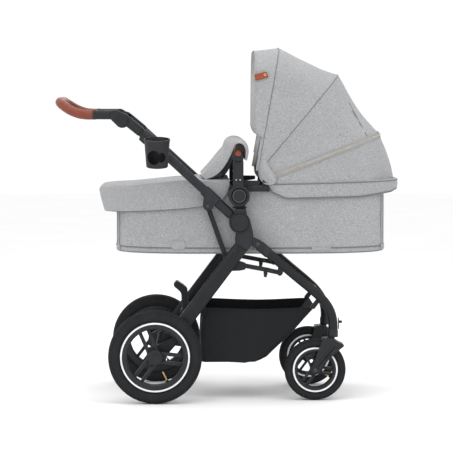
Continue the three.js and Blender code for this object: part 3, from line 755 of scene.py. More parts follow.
def make_rear_frame():
    pair("fold_housing", housing_shape(), PLASTIC, "chassis", "hub_housing")
    ring = lathe([(27, 254), (27, 257), (28.5, 258), (30.5, 258), (31.5, 256), (31.5, 254),
                  (27, 254)], (FOLD[0], 0, FOLD[1]))
    pair("fold_ring", ring, PLASTIC, "chassis", None)
    pair("fold_release_button", push_button(FOLD, 26, 254.3, 262), PLASTIC, "fold_button_{}",
         "fold_button")

    middle_line = [leg_point(along, 0) for along in np.linspace(-6, LEG_LENGTH, 12)]
    tube_shape = sweep([(x, TUBE_Y, z) for x, z in middle_line], [oval(45, 26)] * 12)
    lug = prism(rounded([(236, 406), (236, 436), (262, 437), (281, 431), (285, 419), (278, 410),
                         (262, 407)], 5), 209, 226, 1.5)
    pair("rear_leg_tube", joined(tube_shape, lug), FRAME_METAL, "chassis", "rear_leg")
    x, z = leg_point(24, -8)
    pair("leg_screw", joined(screw(x, 248, z, 3, 1), screw(BRACE_TOP[0], 209, BRACE_TOP[1], 5, -1)),
         DARK_STEEL, "chassis", None)

    foot = [(27 * math.cos(math.radians(a)), 145 + 27 * math.sin(math.radians(a)))
            for a in range(135, 320, 9)]
    foot += rounded([leg_point(362, 25.5), leg_point(352.5, 25.5), leg_point(352.5, -25.5)], 5)
    shell = prism(foot, 217, 247, 3.5)
    cover = prism(rounded([(2, 165), (22, 214), (64, 214), (60, 176), (36, 150), (14, 140)], 9),
                  214.5, 219, 1.5)
    sleeve = prism(rounded([leg_point(330, 24.5), leg_point(330, -24.5), leg_point(356, -24.5),
                            leg_point(356, 24.5)], 4), 220.5, 249.5, 3)
    pair("axle_housing_shell", joined(shell, cover, sleeve), PLASTIC, "chassis", "axle_housing")
    pair("axle_housing_screws", joined(screw(57, 214.5, 196, 4, -1), screw(45, 214.5, 166, 4, -1),
                                       screw(20, 214.5, 180, 3.4, -1)), DARK_STEEL, "chassis", None)
    pair("suspension_spring", joined(
        helix((8, 211, 168), (17, 211, 214), 6.5, 7), tube([(7, 211, 163), (18, 211, 219)], 3.4, 20)),
        DARK_STEEL, "chassis", None)
    axle = lathe([(0, 230.6), (7.4, 230.6), (7.4, 296), (6.6, 297), (0, 297)], (0, 0, 145))
    pair("rear_stub_axle", axle, STEEL, "chassis", "rear_axle")

    crossbar = lathe([(0, -221), (11, -221), (12, -220), (12, 220), (11, 221), (0, 221)],
                     (BRAKE_PIVOT[0], 0, BRAKE_PIVOT[1]), segments=32)
    piece("rear_crossbar_tube", crossbar, FRAME_METAL, "chassis", "rear_crossbar")
    arm = prism(rounded([(84, 262, 6), (81, 322, 20), (59, 341, 5), (57, 348, 4), (66, 359, 4),
                         (73, 356, 5), (101, 336, 20), (108, 262, 6)]), -30, 30, 4)
    ribs = [bar((62 + 6 * k, 341 - 2.4 * k), (70 + 6 * k, 356 - 3.0 * k), 2.2, -24, 24, 0.8)
            for k in range(4)]
    barrel = lathe([(12.4, -34), (17, -34), (18, -33), (18, 33), (17, 34), (12.4, 34), (12.4, -34)],
                   (BRAKE_PIVOT[0], 0, BRAKE_PIVOT[1]), segments=40)
    piece("brake_foot_pedal", joined(arm, barrel, *ribs), PLASTIC, "brake_pedal", "brake_pedal")


make_rear_frame()


# ---------------------------------------------------------------- front frame
def make_front_frame():
    knee = [(322, 228, 487), (445, 210, 382), (494, 200, 341), (524, 195.5, 312), (542, 193.3, 286),
            (551, 193, 262), (554, 193, 238), (554, 193, 200)]
    socket = lathe([(0, 0), (15.6, 0), (16.5, 1), (16.5, 21), (15.2, 23), (15.2, 26), (0, 26)],
                   (SWIVEL_X, 193, 197), (0, 0, 1), 40)
    shoulder = tube([(323, 228, 486), (352, 224, 461)], 16.2, 28)
    brace_lug = prism(link(BRACE_FOOT, (392, 420), 9), 217.8, 226, 1.5)
    pair("front_leg_tube", joined(tube(knee, 14.5, 28), disc(FRONT_PIVOT, 14, 214, 242.5), brace_lug),
         FRAME_METAL, "front_frame", "front_leg")
    pair("front_leg_socket", joined(socket, shoulder), PLASTIC, "front_frame", None)
    pair("front_pivot_screw", screw(FRONT_PIVOT[0], 252.5, FRONT_PIVOT[1], 6, 1), DARK_STEEL,
         "chassis", None)
    crossbar = lathe([(0, -180), (8, -180), (9, -179), (9, 179), (8, 180), (0, 180)], (514, 0, 321),
                     segments=28)
    piece("front_crossbar_tube", crossbar, FRAME_METAL, "front_frame", "front_crossbar")

    plate = prism([(570, 222), (573, 222), (573, 257), (570, 257)], 187, 199, 0.8)
    knob = prism(rounded([(572, 240.5), (583, 240.5), (583, 248.5), (572, 248.5)], 2.5), 188.5, 197.5,
                 1.2)
    pair("swivel_lock_slider", joined(plate, knob), PLASTIC, "swivel_lock_{}", "swivel_lock")

    side = rounded([
        (521, 195, 6), (503, 146, 40), (490, 108, 14), (486, 95, 8), (490, 86, 6), (498.7, 82, 6),
        (509, 85, 8), (541, 130, 40), (571, 157, 14), (588, 171, 3), (586, 176, 4), (571, 183, 12),
        (549, 196.5, 6)])
    fork = [prism(side, y, y + 7.5, 2.4) for y in (193 - 32, 193 + 24.5)]
    bridge = prism(rounded([(521, 194, 4), (517, 184, 3), (540, 181, 10), (560, 170, 10), (572, 160, 6),
                            (588, 171, 3), (586, 176, 4), (571, 183, 12), (549, 196.5, 6)]),
                   163, 223, 4)
    stem = lathe([(0, -9), (6, -9), (6, 37), (0, 37)], (SWIVEL_X, 193, 197), (0, 0, 1), 24)
    bolt = disc((WHEELBASE, 95.7), 5, 163, 223, 0.8, 24)
    pair("caster_fork", joined(*fork, bridge, stem, bolt), PLASTIC, "caster_{}", "fork")
    dampers = []
    for y in (159.2, 226.8):
        dampers += [tube([(563, y, 165), (509, y, 103)], 4.4, 16),
                    tube([(554, y - 0.2, 168), (500, y - 0.2, 106)], 2.3, 12)]
        dampers.append(helix((552, y, 152.5), (526, y, 122.5), 5.0, 8, 1.2))
    pair("caster_damper", joined(*dampers), PLASTIC, "caster_{}", None)
    pair("caster_bolt_heads", joined(screw(WHEELBASE, 225, 95.7, 6, 1), screw(WHEELBASE, 161, 95.7, 6,
                                     -1)), DARK_STEEL, "caster_{}", None)

    for name, start, end, low, high in (("brace_rear", BRACE_TOP, BRACE_KNEE, 199, 208.5),
                                        ("brace_front", BRACE_KNEE, BRACE_FOOT, 209, 217.5)):
        pair(f"{name}_link", joined(prism(link(start, end, 7), low, high, 1.6),
                                    bar(start, end, 6, low - 0.6, high + 0.6, 0.6)),
             PLASTIC, "braces_rear" if name == "brace_rear" else "braces_front", name)
    pair("brace_knee_pin", screw(BRACE_KNEE[0], 199, BRACE_KNEE[1], 4.4, -1), DARK_STEEL,
         "braces_rear", None)
    pair("brace_latch", prism(rounded([(336, 409), (348, 412), (350, 396), (346, 384), (338, 386),
                                       (337, 400)], 3), 200.5, 207, 1.2), PLASTIC, "braces_rear",
         None)


make_front_frame()


# ---------------------------------------------------------------- handle frame
ALONG = (math.cos(HANDLE_ANGLE), math.sin(HANDLE_ANGLE))


def on_tube(run, y=TUBE_Y):
    return (FOLD[0] + run * ALONG[0], y, FOLD[1] + run * ALONG[1])


def beside(run, across):
    return (FOLD[0] + run * ALONG[0] - across * ALONG[1], FOLD[1] + run * ALONG[1] + across * ALONG[0])


def grip_path():
    half = [(-190, 230, 890.5), (-210, 230, 890.5), (-232, 228, 893.5), (-258, 219, 903),
            (-281, 195, 917), (-293, 162, 926), (-296, 110, 929)]
    return smooth(half + [(-296, 0, 929)] + [(x, -y, z) for x, y, z in reversed(half)], 8)


def make_handle_frame():
    heading = (ALONG[0], 0, ALONG[1])
    lower = lathe([(0, 34), (14, 34), (15, 36), (15, 92), (13.5, 92.5), (0, 92.5)],
                  on_tube(0), heading, 36)
    upper = lathe([(0, 60), (13.5, 60), (13.5, 447), (0, 447)], on_tube(0), heading, 36)
    eye = joined(disc(FOLD, HUB_RADIUS - 1, 225.6, 244.4),
                 prism([beside(10, -11), beside(46, -11), beside(46, 11), beside(10, 11)],
                       225.6, 244.4, 1.5))
    pair("handle_tube_metal", joined(upper, lower, eye), FRAME_METAL, "handle_frame", "handle_tube")

    x, z = HANDLE_PIVOT
    cheek = prism(rounded([(*beside(412, 14.6), 4), (*beside(412, -14.6), 4), (x + 20, z + 14, 10),
                           (x + 8, z + 20, 10), (x, z + 10, 3), (x, z - 10, 3), (x + 14, z - 20, 10)]),
                  220.5, 249.5, 4)
    cheek_disc = disc(HANDLE_PIVOT, 23, 220.5, 234.8, 2.5)
    pair("handle_hinge_knuckle", joined(cheek, cheek_disc), PLASTIC, "handle_frame",
         "handle_knuckle")
    boot = prism(rounded([(x + 4, z + 22, 8), (x - 14, z + 32, 8), (x - 36, 904.5, 6),
                          (x - 36, 876.5, 6), (x - 16, z - 16, 14), (x + 2, z - 22, 8)]),
                 235.2, 249.5, 3)
    arm = sweep([(x, 232 + (x + 129) * 0.03, 890.5) for x in np.linspace(-191, -126, 8)],
                [oval(29, 28)] * 8)
    ring = sweep([(x, 230.2, 890.5) for x in (-190.8, -190, -182.6, -182)],
                 [oval(size, size) for size in (29.4, 30.6, 30.6, 29.4)])
    arm_disc = disc(HANDLE_PIVOT, 23, 235.2, 249.8, 2.5)
    pair("handle_arm_shell", joined(boot, arm, ring, arm_disc), PLASTIC, "handle", "handle_arm")
    pair("handle_angle_button", push_button(HANDLE_PIVOT, 18, 245.4, 256), PLASTIC,
         "handle_button_{}", "handle_button")

    path = grip_path()
    sections = [circle(15, 28)] * len(path)
    sections[0] = sections[-1] = circle(14.2, 28)
    piece("leather_grip", sweep(path, sections, (0, 0, 1)), BROWN_LEATHER, "handle", "handle_grip")
    inward = np.cross(np.gradient(path, axis=0), (0, 0, 1.0))
    inward /= np.linalg.norm(inward, axis=1, keepdims=True)
    toward = np.sign((inward * (np.array([100, 0, 929]) - path)).sum(1))[:, None]
    seams = []
    for lean in (-0.24, 0.24):
        seam = path + inward * toward * 15.1 * math.cos(lean) + np.array([0, 0, 15.1 * math.sin(lean)])
        seams.append(stitches(seam[3:-3], 6.0, 4.2, 0.6))
    ridge = path + inward * toward * 14.9
    seams.append(sweep(ridge[2:-2], [circle(0.9, 8)] * (len(ridge) - 4), (0, 0, 1)))
    piece("grip_stitching", joined(*seams), LEATHER_THREAD, "handle", ())

    barrel = lathe([(13.9, 93.6), (16, 93.6), (16.8, 94.4), (16.8, 148), (16, 149.6), (13.9, 149.6),
                    (13.9, 93.6)], on_tube(0), heading, 36)
    lobe = prism(rounded([(*beside(149, -9), 4), (151, 637, 10), (148, 610, 14), (153, 598, 8),
                          (165, 593.5, 8), (176, 598, 8), (*beside(95, 9), 4)]), 220.5, 249.5, 4)
    pair("sliding_sleeve", joined(barrel, lobe), PLASTIC, "sleeves", "sleeve")
    pair("sleeve_screw", screw(LINK_TOP[0], 249.5, LINK_TOP[1], 5, 1), DARK_STEEL, "sleeves", None)
    side_bar = prism(link(LINK_TOP, LINK_FOOT, 7.5), 209.5, 217.2, 1.8)
    pair("side_link_bar", side_bar, FRAME_METAL, "side_links", "side_link")


make_handle_frame()


# ---------------------------------------------------------------- cup holder
def make_cup_holder():
    heading = (ALONG[0], 0, ALONG[1])
    clip = lathe([(13.9, -14), (18, -14), (19, -13), (19, 13), (18, 14), (13.9, 14), (13.9, -14)],
                 on_tube(392, -TUBE_Y), heading, 40)
    block = prism(rounded([(-24, 792), (-10, 792), (-10, 824), (-24, 824)], 4), -260, -249, 2)
    ear = bar(beside(381, 18.5), beside(403, 18.5), 6, -242, -228, 1.5)
    piece("cup_clip_shell", joined(clip, block, ear), PLASTIC, "handle_frame", "cup_clip")

    low, high, height = CUP["low"], CUP["high"], CUP["height"]

    def wall(turn, z, inset):
        """A point of the cup's wall: round, widening upward, with a bead near its rim."""
        radius = low + (high - low) * z / height - inset
        radius += 1.2 * math.exp(-((z - 84) / 3.2) ** 2) - (2.0 if z == 0 else 0.5 if z == 1.2 else 0)
        return (radius * math.cos(turn), radius * math.sin(turn), z)

    def in_window(x, y, z):
        """Whether a wall point lies in the two-lobed window of the front."""
        left = ((x + 10) / 20.5) ** 2 + ((z - 35) / 22.5) ** 2 < 1
        right = ((x - 15) / 12.5) ** 2 + ((z - 35) / 16) ** 2 < 1
        return y < 0 and (left or right)

    levels = np.concatenate([[0, 1.2], np.arange(3, 81, 1.3), [80, 81, 84, 86.3, 87]])
    segments = 220
    turns = np.arange(segments) * 2 * math.pi / segments
    outer = [[wall(turn, z, 0) for turn in turns] for z in levels]
    inner = [[wall(turn, z, 3) for turn in turns] for z in levels[::-1][:-2]]
    points, faces = skin(outer + inner, around=True, caps=True)
    faces = [face for face in faces if len(face) > 6 or not in_window(*points[list(face)].mean(axis=0))]
    edges = {}
    for face in faces:
        for a, b in zip(face, face[1:] + face[:1]):
            edges[(a, b)] = edges.get((a, b), 0) + 1
    layers = len(outer) + len(inner)
    for a, b in list(edges):
        if (b, a) not in edges and a // segments < len(outer) and b // segments < len(outer):
            twin = [(layers - 1 - max(i // segments - 2, 0)) * segments + i % segments for i in (a, b)]
            faces.append((b, a, twin[0], twin[1]))
    shape = turned((points, faces), (0, 0, 0), (1, 0, 0), CUP["lean"])
    piece("cup_shell", moved(shape, (CUP["x"], -CUP["y"] - 1.5, CUP["z"])), CUP_PLASTIC, "cup", "cup",
          sharp=50)


make_cup_holder()


# ---------------------------------------------------------------- soft goods: common
def bag(rings, thickness):
    """A bag from closed rings, the first its mouth and the last its bottom."""
    rings = np.asarray(rings, float)
    around = np.roll(rings, -1, axis=1) - np.roll(rings, 1, axis=1)
    normal = np.cross(around, np.gradient(rings, axis=0))
    normal /= np.maximum(np.linalg.norm(normal, axis=2, keepdims=True), 1e-9)
    outward = rings - rings.reshape(-1, 3).mean(axis=0)
    if (normal * outward).sum() < 0:
        normal = -normal
    inner = rings - normal * thickness
    inner[0, :, 2] = rings[0, :, 2]
    return skin(np.concatenate([rings[::-1], inner]), around=True, caps=True)


def plan(rear, front, half, corner, count=160):
    """Evenly spaced points of a rounded rectangle seen from above."""
    found = []
    for x, y, first in ((front - corner, half - corner, 0), (rear + corner, half - corner, 90),
                        (rear + corner, corner - half, 180), (front - corner, corner - half, 270)):
        for a in np.radians(np.linspace(first, first + 90, 9)):
            found.append((x + corner * math.cos(a), y + corner * math.sin(a)))
    found.append(found[0])
    return along_line(found, count + 1)[:-1]


def folded_share(values, start, end):
    t = np.clip((np.asarray(values, float) - start) / (end - start), 0, 1)
    return t * t * (3 - 2 * t)


# ---------------------------------------------------------------- basket
BASKET_LEVELS = [
    (286, 150, 500), (280, 149.4, 493.6), (276, 148.9, 490), (268, 148, 483), (250, 145.8, 466.6),
    (235, 144, 453.4), (221, 142.6, 441), (204, 141.4, 424), (187, 141.3, 407), (171, 141.7, 391),
    (157, 142, 376), (143, 142.3, 361.5), (131, 142.6, 349), (122, 143.2, 331), (116, 146, 316)]


def basket_floor(x):
    return np.interp(x, [141, 281, 347, 400], [117, 110, 129, 175])


def make_basket():
    rings = []
    for level, (z, rear, front) in enumerate(BASKET_LEVELS):
        ring = plan(rear, front, BASKET_HALF, 16, 240)
        depth = 286 - z
        heights = np.full(len(ring), float(z))
        if level == 0:
            heights -= 5 * np.sin(np.clip((ring[:, 0] - 160) / 325, 0, 1) * math.pi) ** 1.5
        points = np.column_stack([ring, heights])
        belly = math.sin(min(depth / 150, 1) * math.pi)
        inward = np.sign(ring[:, 1]) * (np.abs(ring[:, 1]) > BASKET_HALF - 2)
        points[:, 1] -= inward * 5 * (0.4 + belly) * np.sin(
            np.clip((ring[:, 0] - rear) / (front - rear), 0, 1) * math.pi)
        lift = ripple(points * (0.5, 1, 1.6), 55, 3.4, 3.1) * min(1, depth / 12)
        points[:, 1] += inward * lift
        points[:, 0] += np.where(np.abs(inward) < 0.5, lift * 0.3, 0)
        if level in (0, 1):
            points[:, 1] += 0.9 * np.sign(points[:, 1])
        points[:, 1] *= 1 - 0.036 * np.clip((points[:, 0] - 290) / 50, 0, 1)
        rings.append(points)
    lowest = rings[-1]
    for share in (0.93, 0.8, 0.6, 0.4, 0.2, 0.05):
        ring = lowest.copy()
        ring[:, 0] = 225 + (ring[:, 0] - 225) * share
        ring[:, 1] *= share
        ring[:, 2] = basket_floor(ring[:, 0]) + 3 * (share > 0.9)
        ring[:, 2] += ripple(ring, 60, 1.8, 7.7)
        rings.append(ring)
    shape = bag(rings, 2.6)
    shares = folded_share(shape[0][:, 0], BASKET_FOLD[0][0], BASKET_FOLD[1][0])
    body = piece("basket_bag", shape, BASKET_CLOTH, None, "basket", shares)
    folding(body, "chassis", "front_frame", *BASKET_FOLD)

    hem = np.column_stack([rings[0][:, :2], rings[0][:, 2] - 1.2])
    hem_shape = sweep(hem, [oval(3.4, 4.4, 10)] * len(hem), (0, 0, 1), closed=True)
    low = rings[2].copy()
    low[:, 1] += 0.5 * np.sign(low[:, 1])
    thread = stitches(np.concatenate([low, low[:1]]), 5, 3.4, 0.5)
    gusset = []
    for side in (-1, 1):
        line = [(r[np.argmin(np.abs(r[:, 0] - (r[:, 0].max() - 12)) + (r[:, 1] * side < 0) * 999)])
                for r in rings[1:14]]
        line = smooth(line, 4) + (0, side * 0.8, 0)
        gusset.append(rod(line, 1.1, 8, (0, 1, 0)))
    trim = joined(hem_shape, thread, *gusset)
    trim_piece = piece("basket_hem", trim, BASKET_CLOTH, None, (),
                       folded_share(trim[0][:, 0], BASKET_FOLD[0][0], BASKET_FOLD[1][0]))
    folding(trim_piece, "chassis", "front_frame", *BASKET_FOLD)

    strap = [(153, 172.4, 262), (152, 174, 282), (147, 186, 291), (141, 204, 296), (136, 219.6, 297)]
    line = smooth(strap, 6)
    rows = [[point + np.array([dx, 0, 0.35 * dx]) for dx in (-9, -4, 0, 4, 9)] for point in line]
    pair("basket_rear_strap", cloth(rows, 1.6), BASKET_CLOTH, "chassis", None)
    clip = prism(rounded([(484, 283), (498, 283), (515, 307), (513, 313), (503, 313), (486, 292)], 4),
                 168.0, 180.2, 1.4)
    pair("basket_front_clip", clip, PLASTIC, "front_frame", None)


make_basket()


# ---------------------------------------------------------------- carrycot tub and mattress
def tub_ring(inset, z, count=320):
    """A ring of the tub's fabric at height z; the floor's ends curve up a little."""
    ring = plan(TUB["rear"] + inset, TUB["front"] - inset, TUB["half"] - inset, TUB["corner"] - inset,
                count)
    lift = 9 * (np.abs(ring[:, 0] - TUB_MIDDLE) / 418) ** 5 * np.clip((560 - z) / 90, 0, 1)
    return np.column_stack([ring, z + lift])


def make_tub():
    rings = []
    levels = [655, 652, 640, 625, 610, 595, 580, 565, 550, 535, 520, 508, 498, 489, 482, 477, 474, 471,
              468, 464, 460, 458, 457]
    insets = {474: 1.2, 471: 1.2, 468: -0.2, 464: 0.2, 460: 1.8, 458: 4, 457: 7, 655: 1.5, 652: 0.2}
    for z in levels:
        ring = tub_ring(insets.get(z, 0), z)
        middle = math.sin(np.clip((z - 477) / 175, 0, 1) * math.pi)
        away = ring - ((TUB["rear"] + TUB["front"]) / 2, 0, z)
        away[:, 2] = 0
        away /= np.linalg.norm(away, axis=1, keepdims=True)
        creases = ripple(ring * (1, 1, 2.4), 95, 3.6, 1.7) + ripple(ring * (3, 3, 0.8), 60, 1.2, 5.5)
        ring += away * ((creases - 1.6) * min(1, middle * 1.5))[:, None]
        rings.append(ring)
    floor = rings[-1]
    for share in (0.95, 0.8, 0.55, 0.3, 0.08):
        ring = floor.copy()
        ring[:, 0] = TUB_MIDDLE + (ring[:, 0] - TUB_MIDDLE) * share
        ring[:, 1] *= share
        rings.append(ring)
    inner = []
    for z in (655, 640, 600, 560, 520, 490, 471):
        inner.append(tub_ring(7.5 + 0.8 * (z < 650), z) * (1, 1, 0) + (0, 0, z))
    for share in (0.95, 0.6, 0.3, 0.08):
        ring = tub_ring(8.3, 469.2) * (1, 1, 0) + (0, 0, 469.2)
        ring[:, 0] = TUB_MIDDLE + (ring[:, 0] - TUB_MIDDLE) * share
        ring[:, 1] *= share
        inner.append(ring)
    shape = skin(np.concatenate([rings[::-1], inner]), around=True, caps=True)
    tub = piece("tub_cover", shape, GREY_FABRIC, "cot", "cot_tub")

    def cord(z, inset, radius):
        ring = tub_ring(inset, z, 200)
        return rod(ring, radius, 8, (0, 0, 1), closed=True)

    band = [cord(475.5, 0.2, 1.9), cord(460.5, 2.4, 1.6)]
    for corner_x in (TUB["rear"] + 3, TUB["front"] - 3):
        for dx in (0, 9 if corner_x < 0 else -9):
            for side in (-1, 1):
                seam = []
                for z in np.linspace(478, 640, 30):
                    ring = tub_ring(0, z)
                    near = ring[np.argmin(np.abs(ring[:, 0] - corner_x - dx)
                                          + 999 * (ring[:, 1] * side < 100))]
                    away = unit((near[0] - TUB_MIDDLE, near[1], 0))
                    seam.append(near + away * 0.1)
                seam = np.array(seam)
                band.append(rod(seam, 0.9, 8, (0, 1, 0.01)))
    piece("tub_piping", joined(*band), PIPING, "cot", ())
    bulges = []
    for x in (TUB["rear"] + 12, TUB["front"] - 12):
        for side in (-1, 1):
            bulge = lathe([(0, -9), (4, -7), (6.2, -2), (6.2, 4), (4, 9), (0, 11)],
                          (x + (-4 if x < 0 else 4), side * (TUB["half"] - 15), 477), (0, 0, 1), 20)
            bulges.append(bulge)
    piece("tub_corner_tucks", joined(*bulges), GREY_FABRIC, "cot", ())

    for name, outline in (("rear", [(48, 499, 5), (70, 500, 9), (92, 497, 9), (96, 482, 9),
                                    (90, 471, 7), (52, 470, 7)]),
                          ("front", [(488, 478, 3), (546, 479, 3), (549, 466, 4), (487, 466, 4)])):
        flap = prism(rounded(outline, 5, 7), TUB["half"] - 1.5, TUB["half"] + 2.2, 1.2)
        edge = [(x, TUB["half"] + 2.4, z) for x, z in rounded(
            [(x + np.sign(70 - x if name == "rear" else 518 - x) * 3,
              z + (2.5 if z < 480 and name == "rear" or z < 470 else -2.5), 5)
             for x, z, _ in outline], 5, 7)]
        pair(f"tub_{name}_vent_flap", joined(flap, stitches(edge + edge[:1], 4.2, 3, 0.4)),
             GREY_FABRIC, "cot", None)


make_tub()


def puffed(name, shape, finish, body, stands_for, cap):
    """A stuffed piece: its shape is remeshed, blown up by cloth pressure and kept near its start."""
    obj = piece(name, shape, finish, None, stands_for)
    remesh = obj.modifiers.new("remesh", "REMESH")
    remesh.mode, remesh.voxel_size = "VOXEL", 0.006
    bake(obj)
    start = np.array([v.co for v in obj.data.vertices])
    sim = obj.modifiers.new("cloth", "CLOTH")
    sim.settings.use_pressure = True
    sim.settings.uniform_pressure_force = 4
    sim.settings.effector_weights.gravity = 0
    sim.point_cache.frame_start, sim.point_cache.frame_end = 1, 20
    scene = bpy.context.scene
    for step in range(1, 21):
        scene.frame_set(step)
    bake(obj)
    scene.frame_set(1)
    end = np.array([v.co for v in obj.data.vertices])
    shift = end - start
    reach = np.maximum(np.linalg.norm(shift, axis=1, keepdims=True), 1e-9)
    shift *= np.minimum(1, cap / 1000 / reach)
    obj.data.vertices.foreach_set("co", (start + shift).ravel())
    for polygon in obj.data.polygons:
        polygon.use_smooth = True
    even = obj.modifiers.new("soften", "SMOOTH")
    even.factor, even.iterations = 0.5, 3
    obj.modifiers.new("subdivision", "SUBSURF").levels = 1
    bake(obj)
    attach(obj, body)


def bake(obj):
    """Replaces the mesh by what its modifiers make of it."""
    bpy.context.view_layer.update()
    graph = bpy.context.evaluated_depsgraph_get()
    mesh = bpy.data.meshes.new_from_object(obj.evaluated_get(graph), depsgraph=graph)
    obj.modifiers.clear()
    old, obj.data = obj.data, mesh
    bpy.data.meshes.remove(old)


def make_mattress():
    rows = [np.column_stack([plan(-102 + inset, 697 - inset, 177 - inset, 36, 160),
                             np.full(160, z)])
            for inset, z in ((6, 473), (1, 476), (0, 480), (0, 488), (1, 493), (6, 497))]
    puffed("mattress_pad", skin(rows, around=True, caps=True), LINING, "cot", "mattress",
           6)
    edge = plan(-107, 702, 182, 36, 200)
    pipes = []
    for z in (475, 495.5):
        ring = np.column_stack([edge, np.full(len(edge), float(z))])
        ring[:, :2] = (ring[:, :2] - (297.5, 0)) * 0.989 + (297.5, 0)
        pipes.append(rod(ring, 1.8, 8, (0, 0, 1), closed=True))
    piece("mattress_piping", joined(*pipes), PIPING, "cot", ())


make_mattress()


# ---------------------------------------------------------------- apron and its flap
# Heights of the apron's top and of its hem, each by X.
APRON_TOP = ([-171, -160, -130, -75, 0, 60, 130, 190, 231],
             [664, 668, 671, 673, 681, 687, 692, 692, 690])
APRON_HEM = ([-155, -100, 0, 90, 150, 185, 208, 219, 226, 230],
             [593, 591, 594, 600, 607, 616, 628, 640, 656, 676])


def make_apron():
    side = [(x, -APRON_HALF) for x in np.concatenate([[230, 226, 219, 208], np.arange(200, -120, -6)])]
    corner = [(-125 + 46 * math.cos(a), -157 + 46 * math.sin(a))
              for a in np.radians(np.arange(270, 180, -6))]
    end = [(-171, y) for y in np.arange(-156, 1, 6)]
    half = side + corner + end
    track = np.array(half + [(x, -y) for x, y in reversed(half)])
    shares = [0, 0.12, 0.25, 0.4, 0.55, 0.7, 0.82, 0.9, 0.955, 0.985, 1.0]
    drops = [0.0, 0.012, 0.04, 0.1, 0.2, 0.32, 0.45, 0.58, 0.7, 0.82, 0.92, 1.0]
    spine = np.column_stack([np.maximum(track[:, 0], -171 + 150), np.zeros(len(track))])
    rows = []
    for share in shares:
        flat = spine + (track - spine) * share
        top = np.interp(flat[:, 0], *APRON_TOP) - 1.5 - 3.5 * (np.abs(flat[:, 1]) / APRON_HALF) ** 2.5
        row = np.column_stack([flat, top])
        sag = np.exp(-((flat[:, 0] - 60) / 110) ** 2) * (1 - (flat[:, 1] / APRON_HALF) ** 2)
        row[:, 2] += (ripple(row * (1, 1, 0), 75, 3.4, 2.2) - 4 * sag) * (1 - share**6)
        row[:, 2] -= max(0, share - 0.97) / 0.015
        rows.append(row)
    edge = rows[-1]
    hem = np.interp(edge[:, 0], *APRON_HEM)
    lean = np.clip((-100 - edge[:, 0]) / 60, 0, 1)
    for drop in drops[1:]:
        row = edge.copy()
        row[:, 2] = edge[:, 2] + (hem - edge[:, 2]) * drop
        fold = ripple(row * (2.2, 2.2, 0.5), 60, 3.0, 9.3) * drop**0.7
        row[:, 1] -= np.sign(edge[:, 1]) * (np.abs(edge[:, 1]) > 150) * (fold + 1.2 * drop)
        row[:, 0] += lean * 17 * drop**1.2 - (lean > 0.9) * fold * 0.5
        rows.append(row)
    grid = np.array(rows)
    cover = piece("apron_cover", cloth(grid[:, ::-1], 3.2), GREY_FABRIC, "cot", "apron",
                  sharp=70)

    ring = grid[len(shares)].copy()
    ring[:, 1] += np.sign(ring[:, 1]) * 0.6 * (np.abs(ring[:, 1]) > 150)
    ring[:, 0] -= (ring[:, 0] < -165) * 0.6
    hem_line = grid[-2]
    outward = np.column_stack([np.where(hem_line[:, 0] < -140, -1.0, 0), np.sign(hem_line[:, 1]),
                               np.zeros(len(hem_line))])
    trim = joined(rod(ring, 1.9, 8, (0, 0, 1)),
                  sweep(grid[-1], [oval(3.6, 5.0, 10)] * len(ring), (0, 0, 1)))
    piece("apron_piping", trim, PIPING, "cot", ())
    piece("apron_stitching", stitches(hem_line + outward * 0.5, 4.4, 3, 0.45), THREAD, "cot", ())


# The flap in side view: its outer line over the bumper bar, the lower edge of its turned sides,
# the edge of their dark lining, and how far out the sides reach at each of those points.
FLAP_OUTER = [(146, 699), (180, 737), (205, 767), (218, 783), (226, 803), (240, 813.5), (256, 815.5),
              (272, 811), (283, 800), (288.6, 780), (287, 763), (283.4, 748)]
FLAP_INNER = [(157, 689), (186, 701), (204, 716), (220, 737), (232, 758), (243, 782), (252, 800),
              (264, 802), (273, 796), (279, 782), (279, 768), (277.5, 752)]
FLAP_LINED = [(184, 687), (208, 696), (222, 710), (233, 730), (240, 750), (245, 768), (250, 781),
              (262, 782), (268, 779), (275, 773), (276, 765), (275, 754)]
FLAP_REACH = [199, 204, 209, 213, 219, 230, 244, 250, 250, 249, 247, 244]
LINING_REACH = [192, 199, 209, 219, 230, 244, 257, 258, 257, 254, 252, 250]
FLAP_FOLD = ((256, 0, 800), (146, 0, 699))


